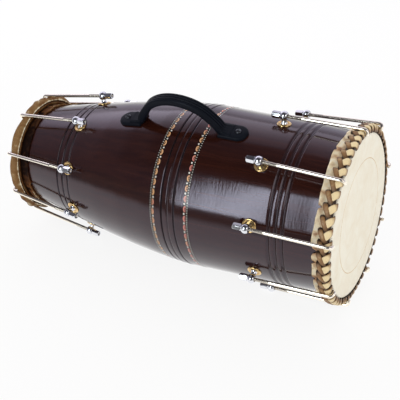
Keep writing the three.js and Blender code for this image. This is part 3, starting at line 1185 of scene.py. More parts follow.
@dataclass
class Shell:
    """The turned wooden barrel with its three sets of grooves and its painted borders."""

    barrel: Barrel
    chamfer: float = 1.5
    sides: int = 192
    station: float = 3.2
    inside_stations: int = 40
    groove_station: float = 0.55
    groove_margin: float = 0.8
    darkest_cut: float = 1.6
    groove_sets: tuple[GrooveSet, ...] = (
        GrooveSet(-180.0, 10.0, 3.2, 1.6),
        GrooveSet(-2.0, 8.75, 3.2, 1.8, 0.4),
        GrooveSet(141.0, 8.7, 6.4, 1.8, burnt=0.35),
    )
    borders: tuple[tuple[str, float, int], ...] = (("treble_side", -25.0, 11), ("bass_side", 24.5, 12))
    border_cells: int = 53
    paint_low: float = 0.06
    paint_high: float = 0.12
    bead_corners: int = 6
    unsteady_shift: float = 0.12
    unsteady_twist: float = 0.02

    def outline(self) -> list[tuple[float, float, float]]:
        """The closed outline of the shell's wall.

        Returns:
            Places, radii and how much painted shade the grooves give each.
        """
        start, end = -self.barrel.treble_length, self.barrel.bass_length
        places = {round(x, 3) for x in np.arange(start + self.chamfer, end - self.chamfer, self.station)}
        for grooves in self.groove_sets:
            reach = grooves.step + grooves.width / 2 + self.groove_margin
            places = {x for x in places if abs(x - grooves.middle) > reach}
            steps = np.linspace(-reach, reach, round(2 * reach / self.groove_station))
            places |= {round(grooves.middle + step, 3) for step in steps}
        outside = [(start, self.barrel.treble_mouth - self.chamfer, 0.0)]
        for place in sorted(places | {end - self.chamfer}):
            cuts = [grooves.cut(place) for grooves in self.groove_sets]
            # Painted shade on the groove floors, darker where the cut is deeper.
            burnt = sum(cut * grooves.burnt for cut, grooves in zip(cuts, self.groove_sets))
            radius = float(self.barrel.radius(place)) - sum(cuts)
            outside.append((place, radius, min(burnt / self.darkest_cut, 1.0)))
        outside.append((end, self.barrel.bass_mouth - self.chamfer, 0.0))
        back = np.linspace(end, start, self.inside_stations)
        return outside + [(x, float(self.barrel.radius(x)) - self.barrel.wall, 0.0) for x in back]

    def cell(self, pitch: float, bulge: float) -> Form:
        """One cell of the painted border, flat: ground, arch, strokes, teeth and bead.

        Args:
            pitch: The cell's length along the row.
            bulge: 1 or -1, the way along X that its arch bulges.

        Returns:
            The cell.
        """
        form = Form()

        def ribbon(inner: Any, outer: Any, along: np.ndarray, lift: float, paint: Paint) -> None:
            """Paints between two lines that run along the row.

            Args:
                inner: The line on the side that the arch opens to.
                outer: The line on the side that it bulges to.
                along: Their places along the row.
                lift: How high the paint stands.
                paint: Which paint it is.
            """
            level = np.full(len(along), lift)
            rows = [
                np.column_stack([np.broadcast_to(bulge * line, along.shape), along, level])
                for line in (inner, outer)
            ]
            form.sheet(rows if bulge < 0 else rows[::-1], paint.value)

        middle, half = pitch / 2, 0.34 * pitch
        steps = np.linspace(-1, 1, 9)
        arch = np.sqrt(np.clip(1 - steps ** 2, 0, 1))
        inner = np.sqrt(np.clip(1 - (steps / 0.78) ** 2, 0, 1))
        ribbon(-2.7, 2.4 + 1.9 * arch, middle + 0.5 * pitch * steps, self.paint_low, Paint.GROUND)
        ribbon(0.2 + 2.1 * inner, 0.2 + 3.6 * arch, middle + half * steps, self.paint_high, Paint.WARM)
        for stroke in (-0.5, 0.0, 0.5):
            line = middle + half * stroke + np.array([-0.4, 0.4])
            ribbon(0.0, 0.2 + 1.7 * math.sqrt(1 - stroke ** 2), line, self.paint_high, Paint.WARM)
        for tooth in (0.125, 0.375, 0.625, 0.875):
            line = pitch * tooth + np.array([-0.42, 0.42])
            ribbon(-2.2, -0.9, line, self.paint_high, Paint.BEAD)
        self.dot(form, x=2.4 * bulge, radius=1.25, lift=0.14)
        return form

    def dot(self, form: Form, x: float, radius: float, lift: float) -> None:
        """Paints one raised bead at the start of a cell.

        Args:
            form: The cell that it is painted on.
            x: Its place across the border.
            radius: Its radius.
            lift: How high its paint stands.
        """
        sides, crown = self.bead_corners, 0.12
        turns = np.linspace(0, TURN, sides, endpoint=False)
        edge = np.full(sides, lift * 0.7)
        rim = np.column_stack([x + radius * np.cos(turns), radius * np.sin(turns), edge])
        fan = [(i, (i + 1) % sides, sides) for i in range(sides)]
        form.add(np.vstack([rim, [[x, 0.0, lift + crown]]]), fan, Paint.BEAD.value)

    def build(self, bench: Bench) -> None:
        """Builds the shell and its two painted borders.

        Args:
            bench: What every piece is made with.
        """
        form = Rings.turned(self.outline(), self.sides).form(loop=True)
        shell = bench.piece("shell_turned", form.mesh("shell"), LacqueredWood(), sharp=32)
        attach(shell, ["shell"])
        for name, place, seed in self.borders:
            radius, beside = float(self.barrel.radius(place)), 3.0
            rise = self.barrel.radius(place + beside) - self.barrel.radius(place - beside)
            slope = float(rise) / (2 * beside)
            cell = self.cell(TURN * radius / self.border_cells, -math.copysign(1.0, place))
            values = {
                "Radius": radius, "Slope": slope, "Place": place, "Shift": self.unsteady_shift,
                "Twist": self.unsteady_twist, "Count": self.border_cells, "Seed": seed,
            }
            paint = bench.repeated(
                f"painted_border_{name}", cell, BorderPaint(), bench.rows, values, solid=False,
            )
            attach(paint, ["shell"])


@dataclass
class BassHead:
    """The large head: one hide, drawn over the mouth and held by the plaited ring.

    A notch in its edge is an angle and a width in degrees, and a depth.
    """

    barrel: Barrel
    edge_place: float = 186.8
    edge_limit: float = 196.5
    skirt_start: float = 198.0
    sides: int = 288
    thickness: float = 1.1
    corner: float = 2.2
    face_radii: tuple[float, ...] = (
        0.6, 6, 14, 24, 35, 46, 57, 66, 71.6, 72.4, 73.2, 80, 88, 95, 99,
    )
    crease_radius: float = 72.4
    crease_width: float = 0.5
    crease_depth: float = 0.2
    under_ring: tuple[float, ...] = (203.0, 198.5)
    stations: tuple[float, ...] = (0.12, 0.3, 0.44, 0.58, 0.72, 0.84, 0.93, 1.0)
    notches: tuple[tuple[float, float, float], ...] = (
        (-88, 1.5, 7.5), (-59, 0.7, 5.0), (-96, 0.7, 5.5), (-112, 1.1, 5.0),
        (-17, 0.8, 3.0), (38, 2.0, 6.0), (130, 2.4, 6.5), (-170, 2.0, 6.0),
    )

    def build(self, bench: Bench) -> None:
        """Builds the hide as one sheet and gives it its thickness.

        Args:
            bench: What every piece is made with.
        """
        rings = Rings(self.sides)
        self.face(rings)
        self.skirt(rings)
        form = rings.form()
        form.faces = [face[::-1] for face in form.faces]
        made = bench.piece("bass_head_hide", form.mesh("hide", closed=False), Rawhide(), sharp=60)
        self.close_pole(made.data)
        solid = made.modifiers.new("thickness", "SOLIDIFY")
        solid.thickness, solid.offset = self.thickness * MM, 0.0
        attach(made, ["bass_skin"])

    @property
    def middle(self) -> float:
        """How far the hide's middle lies off the wood."""
        return self.barrel.gap + self.barrel.hide / 2

    def face(self, rings: Rings) -> None:
        """Adds the playing face with its pressed circle, and the bend over the mouth.

        Args:
            rings: The hide's rings so far.
        """
        face, corner = self.barrel.bass_length + self.middle, self.corner
        for radius in self.face_radii:
            near = math.exp(-((radius - self.crease_radius) / self.crease_width) ** 2)
            rings.add(face - self.crease_depth * near, radius, 0.02 + 0.5 * near)
        for turn in np.linspace(0, math.pi / 2, 6):
            radius = self.barrel.bass_mouth - corner + self.middle + corner * math.sin(turn)
            rings.add(face - corner * (1 - math.cos(turn)), radius, 0.06)

    def skirt(self, rings: Rings) -> None:
        """Adds the skirt: folded and creased, with a torn edge that the hooks have notched.

        Args:
            rings: The hide's rings so far.
        """
        turns = rings.turns
        ripple = round_noise(turns, 3, (5, 9, 14, 23))
        for x in self.under_ring:
            rings.add(x, float(self.barrel.radius(x)) + self.middle, 0.3)
        edge = self.edge_place + 1.6 * round_noise(turns, 5, (3, 7, 12))
        edge = edge + 0.5 * round_noise(turns, 6, (25, 41))
        worn = np.zeros_like(turns)
        for at, wide, deep in self.notches:
            edge = edge + deep * round_hump(turns, at, wide)
            worn = np.maximum(worn, round_hump(turns, at, 1.8 * wide + 1.0))
        edge = np.minimum(edge, self.edge_limit)
        folds = round_noise(turns, 8, (17, 29, 41, 55))
        creases = round_noise(turns, 9, (31, 47, 66))
        for share in self.stations:
            x = self.skirt_start + (edge - self.skirt_start) * share
            along = math.sin(2.2 * math.pi * share)
            lift = share * (0.8 + 0.8 * folds + 0.3 * ripple) + 0.75 * along * creases
            stain = 0.25 + 0.4 * worn + 0.3 * np.clip(-folds, 0, 1) - 0.08 * share + 0.2 * along * creases
            radius = self.barrel.radius(x) + self.middle + np.clip(lift, 0.05, 2.6)
            rings.add(x, radius, np.clip(stain, 0.17, 1))

    @staticmethod
    def close_pole(mesh: Mesh) -> None:
        """Closes the small hole that the innermost ring leaves.

        Args:
            mesh: The hide's mesh.
        """
        work = bmesh.new()
        work.from_mesh(mesh)
        rim = [edge for edge in work.edges if edge.is_boundary]
        shortest = min(edge.calc_length() for edge in rim)
        hole = [edge for edge in rim if edge.calc_length() < 4 * shortest]
        bmesh.ops.holes_fill(work, edges=hole, sides=0)
        bmesh.ops.recalc_face_normals(work, faces=work.faces)
        work.to_mesh(mesh)
        work.free()


@dataclass
class Gajra:
    """The plaited ring round the bass head: cream facets over brown legs on a dark core.

    A facet and a leg are paths in the unit's flat space, each point followed by
    the shade that it has there. That shade is painted shade where a strip tucks
    under or turns down over the front edge, and the dark core's near black is
    painted shade in the gaps; the legs' brown is partly their own colour and
    partly painted shade from the facets over them.
    """

    barrel: Barrel
    width: float = 12.6
    thickness: float = 8.6
    standout: float = 0.4
    plaits: int = 54
    facet_width: float = 7.6
    leg_width: float = 5.8
    strip: float = 1.5
    slant: float = 0.78
    tuck: float = 0.3
    core_inset: float = 1.6
    core_corner: float = 2.4
    # The core is painted near black, as painted shade in the gaps of the plait.
    core_shade: float = 0.97
    # Facet shades are painted shade: darkest where it tucks in at the drum side and where it turns down over the
    # front edge.
    facet: tuple[tuple[float, float, float], ...] = (
        (-3.4, 2.7, 0.6), (-2.2, 3.4, 0.3), (-0.4, 4.0, 0.1), (1.6, 4.3, 0.0), (3.6, 4.0, 0.0),
        (5.0, 3.1, 0.06), (5.9, 1.6, 0.22), (6.3, -0.2, 0.45), (6.3, -2.2, 0.62), (5.8, -4.0, 0.75),
    )
    # Leg shades: brown through the middle, and painted shade, near black, towards both ends where it lies under
    # the facets.
    leg: tuple[tuple[float, float, float, float], ...] = (
        (-7.0, 6.4, -1.4, 1.0), (-6.9, 5.6, 1.2, 0.95), (-6.0, 4.2, 3.2, 0.62), (-4.4, 1.6, 4.4, 0.48),
        (-2.4, -1.4, 4.7, 0.5), (-0.4, -4.6, 4.3, 0.66), (1.6, -7.9, 2.9, 0.95),
    )
    # The third figure darkens a strip's sides against its crown, as painted shade.
    section: tuple[tuple[float, float, float], ...] = (
        (-0.5, -0.5, 0.4), (-0.5, 0.1, 0.25), (-0.4, 0.42, 0.02), (0.0, 0.66, -0.04),
        (0.4, 0.42, 0.02), (0.5, 0.1, 0.25), (0.5, -0.5, 0.4),
    )

    @property
    def middle(self) -> float:
        """The ring's place along the drum."""
        return self.barrel.bass_face + self.standout - self.width / 2

    @property
    def radius(self) -> float:
        """The ring's mean radius."""
        return self.barrel.bass_mouth + 2 * self.barrel.gap + self.barrel.hide + self.thickness / 2

    def strap(self, path: Sequence[Sequence[float]], hint: Sequence[float], width: float) -> Form:
        """One strip of hide along a path.

        Args:
            path: Points of its middle line, each followed by its shade.
            hint: A direction that the strip's width lies near.
            width: The strip's width.

        Returns:
            The strip, closed, domed across and with eased edges.
        """
        points, shades = np.array(path)[:, :3], np.array(path)[:, 3:]
        ahead = np.gradient(points, axis=0)
        ahead /= np.linalg.norm(ahead, axis=1)[:, None]
        across = np.array(hint) - ahead * (ahead @ np.array(hint))[:, None]
        across /= np.linalg.norm(across, axis=1)[:, None]
        up = np.cross(ahead, across)
        rings = [
            [point + width * s * side + self.strip * h * out for s, h, _ in self.section]
            for point, side, out in zip(points, across, up)
        ]
        edge = np.array(self.section)[:, 2]
        return Form().loft(rings, np.clip(shades + edge, 0, 1), caps=True)

    def lean(self, x: float, z: float) -> float:
        """How far along the row a facet has got, which slants and then tucks in.

        Args:
            x: A point's place across the ring.
            z: Its height.

        Returns:
            Its place along the row.
        """
        turns_in, tucks_from = 5.0, 3.1
        return self.slant * (min(x, turns_in) - 1.5) + self.tuck * max(tucks_from - z, 0) * (x > turns_in)

    def build(self, bench: Bench) -> None:
        """Builds the plait and the core under it.

        Args:
            bench: What every piece is made with.
        """
        path = [(x, self.lean(x, z), z, shade) for x, z, shade in self.facet]
        unit = self.strap(path, (0, 1, 0), self.facet_width)
        unit.join(self.strap(self.leg, (1, 0, 0), self.leg_width))
        values = {
            "Radius": self.radius, "Slope": 0.0, "Place": self.middle, "Shift": 0.3, "Twist": 0.07,
            "Drift": 0.07, "Drift Angle": math.radians(-62), "Count": self.plaits, "Seed": 4,
        }
        braid = bench.repeated("gajra_plait", unit, HideStrip(), bench.rows, values)
        attach(braid, ["bass_gajra"])
        corner = self.core_corner
        wide = self.width / 2 - self.core_inset - corner
        thick = self.thickness / 2 - self.core_inset - corner
        section = []
        for quarter in range(4):
            start = quarter * math.pi / 2
            x = math.copysign(wide, math.cos(start + math.pi / 4))
            z = math.copysign(thick, math.sin(start + math.pi / 4))
            for angle in start + np.linspace(0, math.pi / 2, 5):
                place = self.middle + x + corner * math.cos(angle)
                section.append((place, self.radius + z + corner * math.sin(angle), self.core_shade))
        core = Rings.turned(section, 3 * self.plaits).form(loop=True)
        attach(bench.piece("gajra_core", core.mesh("core"), HideStrip()), ["bass_gajra"])


@dataclass
class TrebleHead:
    """The small head: hide with tuning paste, its rolled rim and its rough skirt.

    A rough stretch is an angle and a width in degrees.
    """

    barrel: Barrel
    rim_inset: float = 5.7
    rim_tube: float = 5.7
    rim_sides: int = 48
    face_radii: tuple[float, ...] = (0.4, 12, 24, 36, 48, 58, 64, 66.8)
    face_shade: float = 0.97
    corner_shade: float = 0.9
    lap: tuple[float, ...] = (-270.0, -266.0, -262.0, -258.5, -255.5)
    lap_bare: int = 3
    inside: tuple[float, ...] = (-256.0, -264.0, -270.0)
    paste_radius: float = 31.0
    paste_height: float = 0.9
    paste_sides: int = 96
    sides: int = 240
    corner: float = 1.4
    skirt_start: float = -255.0
    skirt_end: float = -248.5
    rough_stretches: tuple[tuple[float, float], ...] = ((10, 32), (-120, 22), (160, 60))
    first_hook: float = 50.0
    hooks: int = 9
    bulge: float = 2.7
    lip_angle: float = 0.36

    def rough(self, turns: np.ndarray) -> np.ndarray:
        """How rough the hide is round the drum, from 0 to about 1.

        Args:
            turns: Angles round the drum.

        Returns:
            The roughness at each.
        """
        return sum(round_hump(turns, at, wide) for at, wide in self.rough_stretches)

    def build(self, bench: Bench) -> None:
        """Builds the hide, the paste and the rolled rim.

        Args:
            bench: What every piece is made with.
        """
        hide = bench.piece("treble_head_hide", self.hide().mesh("hide"), TanHide(), sharp=60)
        attach(hide, ["treble_skin"])
        paste = bench.piece("treble_tuning_paste", self.paste().mesh("paste"), TuningPaste(), sharp=60)
        attach(paste, ["treble_skin"])
        roll = bench.piece("treble_rolled_rim", self.roll().mesh("roll"), TanHide(), sharp=70)
        attach(roll, ["treble_rim"])

    def hide(self) -> Form:
        """The hide: playing face, lap and skirt, closed all round.

        Returns:
            The hide.
        """
        rings = Rings(self.sides)
        turns = rings.turns
        gap, hide = self.barrel.gap, self.barrel.hide
        mouth, face, inner = self.barrel.treble_mouth, self.barrel.treble_face, -self.barrel.treble_length
        ragged = round_noise(turns, 21, (4, 9, 16, 27, 43))
        folds = round_noise(turns, 22, (11, 19, 33, 52))
        rough = self.rough(turns)
        for radius in self.face_radii:
            rings.add(face, radius, self.face_shade)
        for turn in np.linspace(0, math.pi / 2, 5)[1:]:
            radius = mouth + self.corner * math.sin(turn)
            rings.add(face + self.corner * (1 - math.cos(turn)), radius, self.corner_shade)
        # Painted shade: past the roll, the lap and the skirt are dark red-brown all round, as the roll's shade on
        # them, and show tan only at the rough stretches, where they also stand proud.
        for number, x in enumerate(self.lap, 1):
            bulk = rough * (1 + folds) if number > self.lap_bare else 0.0
            tone = np.clip(0.6 if number < self.lap_bare else 0.02 + 0.26 * bulk, 0, 1)
            rings.add(x, float(self.barrel.radius(x)) + gap + hide + 0.8 * bulk, tone)
        edge = self.skirt_end - ragged * (0.5 + 2.2 * rough)
        for share in np.linspace(0.15, 1, 7):
            x = self.skirt_start + (edge - self.skirt_start) * share
            lift = np.clip(share * (0.15 + 0.9 * rough * (1 + folds)), 0.0, 2.6)
            # The last rings of a rough stretch are a step lighter, a painted highlight on the skirt's edge.
            tone = 0.02 + rough * (0.3 + 0.2 * share + 0.2 * folds + (0.16 if share > 0.85 else 0.0))
            rings.add(x, self.barrel.radius(x) + gap + hide + lift, np.clip(tone, 0, 1))
        rings.add(edge + 0.2, self.barrel.radius(edge) + gap, np.clip(0.02 + 0.3 * rough, 0, 1))
        for x in (*self.inside, inner - gap):
            rings.add(x, float(self.barrel.radius(x)) + gap, 0.5)
        rings.add(inner - gap, mouth - 2.0, 0.8)
        rings.add(inner - gap, 0.4, 0.8)
        return rings.form(loop=True)

    def paste(self) -> Form:
        """The black tuning paste: a low dome on the playing face.

        Returns:
            The paste.
        """
        face, full, pole = self.barrel.treble_face, self.paste_radius, 0.3
        profile = [(face + 0.3, pole), (face + 0.3, full)]
        for share in np.linspace(0, 1, 12):
            radius = full * (1 - share ** 1.4)
            height = self.paste_height * (1 - (radius / full) ** 6) * (0.5 + 0.5 * share)
            profile.append((face - 0.05 - height, max(radius, pole)))
        return Rings.turned(profile, self.paste_sides).form(loop=True)

    def roll(self) -> Form:
        """The rolled rim: an uneven tube with the cut edge of its hide towards the belly.

        It bulges between the hooks that press it down, and is lumpy where the
        hide is rough.

        Returns:
            The roll.
        """
        place = -(self.barrel.treble_length - self.rim_inset)
        seat = float(self.barrel.radius(place)) + self.barrel.gap + self.barrel.hide
        ring_radius = seat + (self.rim_tube + self.barrel.gap) / math.cos(self.barrel.fall(place))
        turns = np.linspace(0, TURN, self.sides, endpoint=False)[:, None]
        at = np.linspace(0, TURN, self.rim_sides, endpoint=False)
        pressed = np.abs(np.sin((turns - math.radians(self.first_hook)) * self.hooks / 2)) ** 0.7
        rough, fine = self.rough(turns), round_noise(turns, 33, (37, 61, 90))
        swell = self.bulge * pressed + 0.3 * round_noise(turns, 31, (3, 8, 13, 21))
        swell = swell + 1.5 * rough * pressed * round_noise(turns, 35, (19, 31, 44))
        away, out = 0.5 - 0.5 * np.cos(at), np.maximum(np.sin(at), 0.0)
        lip = np.exp(-((at - self.lip_angle) / 0.15) ** 2)
        groove = np.exp(-((at - self.lip_angle + 0.32) / 0.2) ** 2)
        tube = self.rim_tube - 0.15 + swell * (0.8 * away + 0.4 * out) + 0.06 * fine * np.abs(np.sin(at))
        tube = tube + 0.9 * lip - 1.3 * groove
        # Painted shade: the tube is darker on its underside towards the shell and in the groove beside the lip;
        # the lip is the cream of the cut edge.
        tone = 0.6 - 0.2 * (0.5 - 0.5 * np.sin(at)) + (0.5 + 0.3 * fine) * lip - 0.6 * groove + 0.03 * fine
        tone = tone + 0.16 * rough * np.sin(17 * turns) * np.sin(3 * at)
        radius = ring_radius + tube * np.sin(at)
        points = [place + tube * np.cos(at), radius * np.sin(turns), radius * np.cos(turns)]
        return Form().loft(np.stack(points, axis=-1), np.clip(tone, 0, 1), loop=True)


class End(Enum):
    """The two ends of the drum; the value is the way along X to the head."""

    BASS = 1
    TREBLE = -1


@dataclass(frozen=True)
class RodPlace:
    """One rod's own frame: the origin in its eye, X towards the head, Z outwards."""

    matrix: np.ndarray

    @classmethod
    def from_joint(cls, joint: dict[str, Any], drum: DrumFrame) -> "RodPlace":
        """Takes the frame from the joint on which the rod's nut turns.

        Args:
            joint: The nut's joint.
            drum: The drum's frame.

        Returns:
            The rod's place.
        """
        eye = drum.to_drum(np.array(joint["pos_m"]))
        along = -drum.turn_to_drum(joint["axis"])
        along /= np.linalg.norm(along)
        out = np.array([0.0, eye[1], eye[2]])
        out -= along * (out @ along)
        out /= np.linalg.norm(out)
        matrix = np.eye(4)
        matrix[:3] = np.column_stack([along, np.cross(out, along), out, eye])
        return cls(matrix)

    def reach(self, node: str, drum: DrumFrame) -> tuple[float, float, float]:
        """How far a CAD node runs along the rod, and how far in it bends.

        Args:
            node: The node's name.
            drum: The drum's frame.

        Returns:
            Its least and greatest place along the rod, and its depth below it.
        """
        shown = frame["nodes"][node]
        points = np.empty(len(shown.data.vertices) * 3)
        shown.data.vertices.foreach_get("co", points)
        world = np.array(shown.matrix_world)
        points = points.reshape(-1, 3) @ world[:3, :3].T + world[:3, 3]
        local = (drum.to_drum(points) - self.matrix[:3, 3]) @ self.matrix[:3, :3]
        return float(local[:, 0].min()), float(local[:, 0].max()), float(-local[:, 2].min())


def hexagon(flats: float, low: float, high: float, bore: float, chamfer: float = 0.7) -> Form:
    """A hexagonal nut about X with turned chamfers and a bore.

    Args:
        flats: Its size across flats.
        low: Where it starts.
        high: Where it ends.
        bore: The radius of its bore.
        chamfer: How far the chamfers reach along it.

    Returns:
        The nut.
    """
    rings = Rings(72)
    sixth, bore_ease = math.pi / 3, 0.4
    hexed = flats / 2 / np.cos((rings.turns + sixth / 2) % sixth - sixth / 2)
    face, corner = flats / 2 * 0.96, flats / 2 / math.cos(sixth / 2)
    steps = [chamfer * share for share in (0, 0.25, 0.6, 1)]
    for x in [low + step for step in steps] + [high - step for step in reversed(steps)]:
        cone = face + (corner - face) * min(x - low, high - x) / chamfer
        rings.add(x, np.minimum(hexed, cone))
    for x, eased in ((high, bore_ease), (high - bore_ease, 0.0), (low + bore_ease, 0.0), (low, bore_ease)):
        rings.add(x, bore + eased)
    return rings.form(loop=True)


@dataclass
class TuningHardware:
    """One head's nine sets of eye bolt, cup washer, tuning nut and hook bolt."""

    end: End
    barrel: Barrel
    inset: float
    first_angle: float
    bolts: int = 9
    rod: float = 2.3
    rod_sides: int = 16
    bend: float = 4.6
    tip_round: float = 0.9
    ball: float = 6.2
    ball_sides: int = 40
    ball_width: float = 8.6
    ball_bore: float = 2.68
    eye_height: float = 11.3
    neck: float = 3.6
    shank: float = 2.5
    shank_end: float = 2.0
    stem_sides: int = 32
    inner_flats: float = 9.0
    inner_length: float = 4.0
    cup: float = 9.0
    cup_inside: float = 5.0
    cup_sides: int = 48
    nut_flats: float = 8.0
    nut_bore: float = 2.5
    thread_pitch: float = 0.8
    thread_depth: float = 0.24
    thread_length: float = 36.0

    @property
    def label(self) -> str:
        """The end's name in the frame."""
        return self.end.name.lower()

    @property
    def place(self) -> float:
        """Where the eye bolts stand along the drum."""
        length = self.barrel.bass_length if self.end is End.BASS else self.barrel.treble_length
        return self.end.value * (length - self.inset)

    def eye_balls(self, places: list[RodPlace]) -> Form:
        """The drilled balls, each turned to its own rod.

        Args:
            places: The rods' places.

        Returns:
            The balls.
        """
        half, bore = self.ball_width / 2, self.ball_bore
        edge = math.sqrt(self.ball ** 2 - half ** 2) - 0.3
        limit = math.asin((half - 0.25) / self.ball)
        profile = [(-half, bore + 0.35), (-half, edge)]
        for turn in np.linspace(-limit, limit, 15):
            profile.append((self.ball * math.sin(turn), self.ball * math.cos(turn)))
        profile += [(half, edge), (half, bore + 0.35), (half - 0.35, bore), (0.35 - half, bore)]
        ball = Rings.turned(profile, self.ball_sides).form(loop=True)
        form = Form()
        for place in places:
            form.join(ball.moved(place.matrix))
        return form

    def stem(self) -> Form:
        """The neck under a ball, the shank through the wall and its inner nut.

        Returns:
            The stem about Z, with the eye at zero.
        """
        wall = self.barrel.wall * math.cos(self.barrel.fall(self.place))
        nut_top = -self.eye_height - self.barrel.gap - wall - self.barrel.gap
        nut_low = nut_top - self.inner_length
        end, foot = nut_low - self.shank_end, -self.eye_height + 1.4
        profile = [
            (-4.2, 0.6), (-4.2, self.neck - 0.5), (-6.6, self.neck - 0.35), (foot + 1.2, self.neck + 0.2),
            (foot, self.neck + 0.9), (foot, self.shank), (end + 0.6, self.shank), (end, self.shank - 0.6),
        ]
        form = Rings.turned(profile, self.stem_sides).form(caps=True, standing=True)
        nut = hexagon(self.inner_flats, nut_low, nut_top, self.shank + 0.05)
        upright = np.array([[0, 0, 1, 0], [0, 1, 0, 0], [1, 0, 0, 0], [0, 0, 0, 1]], float)
        return form.join(nut.moved(upright))

    def cup_washer(self) -> Form:
        """The pressed cup washer: a rolled rim round a dished recess.

        Returns:
            The washer about Z, duller in its recess.
        """
        base = -self.eye_height - self.barrel.gap + 0.15
        rim = (
            (0.0, -0.7, 0.3), (0.35, -0.15, 0.0), (0.95, 0.0, 0.0), (1.5, -0.25, 0.0), (1.85, -0.8, 0.0),
            (1.9, -1.4, 0.1), (1.65, -1.9, 0.4), (1.15, -2.5, 0.7), (1.0, -3.4, 0.8),
        )
        collar = ((1.3, 1.4, 0.6), (1.9, 0.7, 0.2), (2.1, -0.2, 0.1), (0.6, -0.4, 0.5))
        profile = [(base, self.cup_inside, 0.5)]
        profile += [(base + up, self.cup + out, shade) for up, out, shade in rim]
        profile += [(base + up, self.neck + out, shade) for up, out, shade in collar]
        return Rings.turned(profile, self.cup_sides).form(loop=True, standing=True)

    def hook(self, low: float, high: float, depth: float) -> Form:
        """One hook bolt: threaded near its nut, bent in over the rim.

        Args:
            low: Where the rod starts.
            high: Where the bend's outside ends.
            depth: How far the tip reaches below the rod's middle line.

        Returns:
            The bolt in the rod's frame.
        """
        turns = np.linspace(0, TURN, self.rod_sides, endpoint=False)
        axis_end = high - self.rod
        straight = axis_end - self.bend
        thread_end = low + self.thread_length
        rings, shades = [], []

        def ring(x: float, z: float, lean: float, radius: Any, shade: float = 0.0) -> None:
            """Adds one section of the rod.

            Args:
                x: Its place along the rod.
                z: Its place outwards.
                lean: How far the rod has turned there from X towards -Z.
                radius: Its radius, or one for each point.
                shade: Its shade.
            """
            up = radius * np.cos(turns)
            across = [x + up * math.sin(lean), radius * np.sin(turns), z + up * math.cos(lean)]
            rings.append(np.column_stack(across))
            shades.append(shade)

        ring(low - 0.3, 0.0, 0.0, self.rod - 0.7)
        for x in np.arange(low, thread_end, self.thread_pitch / 5):
            phase = ((x - low) / self.thread_pitch - turns / TURN) % 1.0
            fade = min(1.0, (x - low) / 1.2, (thread_end - x) / 2.0)
            ring(x, 0.0, 0.0, self.rod - self.thread_depth * fade * (1 - np.abs(2 * phase - 1)), 1.0)
        for x in np.linspace(thread_end + 0.5, straight, 12):
            ring(float(x), 0.0, 0.0, self.rod)
        for turn in np.linspace(0, math.pi / 2, 9)[1:]:
            ring(straight + self.bend * math.sin(turn), -self.bend * (1 - math.cos(turn)), turn, self.rod)
        tip, down = -depth + self.tip_round, math.pi / 2
        for turn in (0.0, 0.5, 1.0, 1.35):
            slimmer = self.rod - self.tip_round * (1 - math.cos(turn))
            ring(axis_end, tip - self.tip_round * math.sin(turn), down, slimmer)
        return Form().loft(rings, shades, caps=True)

    def build(self, bench: Bench, joints: dict[str, dict[str, Any]]) -> None:
        """Builds and ties all the pieces of one head's hardware.

        Args:
            bench: What every piece is made with.
            joints: The frame's joints by name.
        """
        label, drum = self.label, bench.drum
        numbers = range(1, self.bolts + 1)
        places = [RodPlace.from_joint(joints[f"{label}_tuning_nut_{i}_turn"], drum) for i in numbers]
        eyes = [f"{label}_eye_bolt_{i}" for i in numbers]
        radii = [float(np.hypot(place.matrix[1, 3], place.matrix[2, 3])) for place in places]
        values = {
            "Place": float(np.mean([place.matrix[0, 3] for place in places])), "Place Step": 0.0,
            "Radius": float(np.mean(radii)), "Radius Step": 0.0,
            "Fall": self.barrel.fall(self.place), "Fall Step": 0.0,
            "Angle": math.radians(self.first_angle), "Angle Step": -TURN / self.bolts,
            "Towards": float(self.end.value), "Count": self.bolts,
        }
        balls = self.eye_balls(places).mesh("balls")
        attach(bench.piece(f"{label}_eye_balls", balls, ChromePlate(), sharp=45), eyes)
        for name, unit, finish in (
            ("eye_stems", self.stem(), ChromePlate()), ("cup_washers", self.cup_washer(), PressedBrass()),
        ):
            attach(bench.repeated(f"{label}_{name}", unit, finish, bench.standing, values), eyes)
        for number, place in zip(numbers, places):
            name = f"{label}_tuning_nut_{number}"
            low, high, _ = place.reach(name, drum)
            nut = hexagon(self.nut_flats, low, high, self.nut_bore, chamfer=1.0).moved(place.matrix)
            made = bench.piece(f"{name}_hexagon", nut.mesh(name), ChromePlate(), sharp=25)
            attach(made, [name], body=name)
            name = f"{label}_hook_bolt_{number}"
            bolt = self.hook(*place.reach(name, drum)).moved(place.matrix)
            made = bench.piece(f"{name}_rod", bolt.mesh(name), DullPlate(), sharp=50)
            attach(made, [name], body=name)


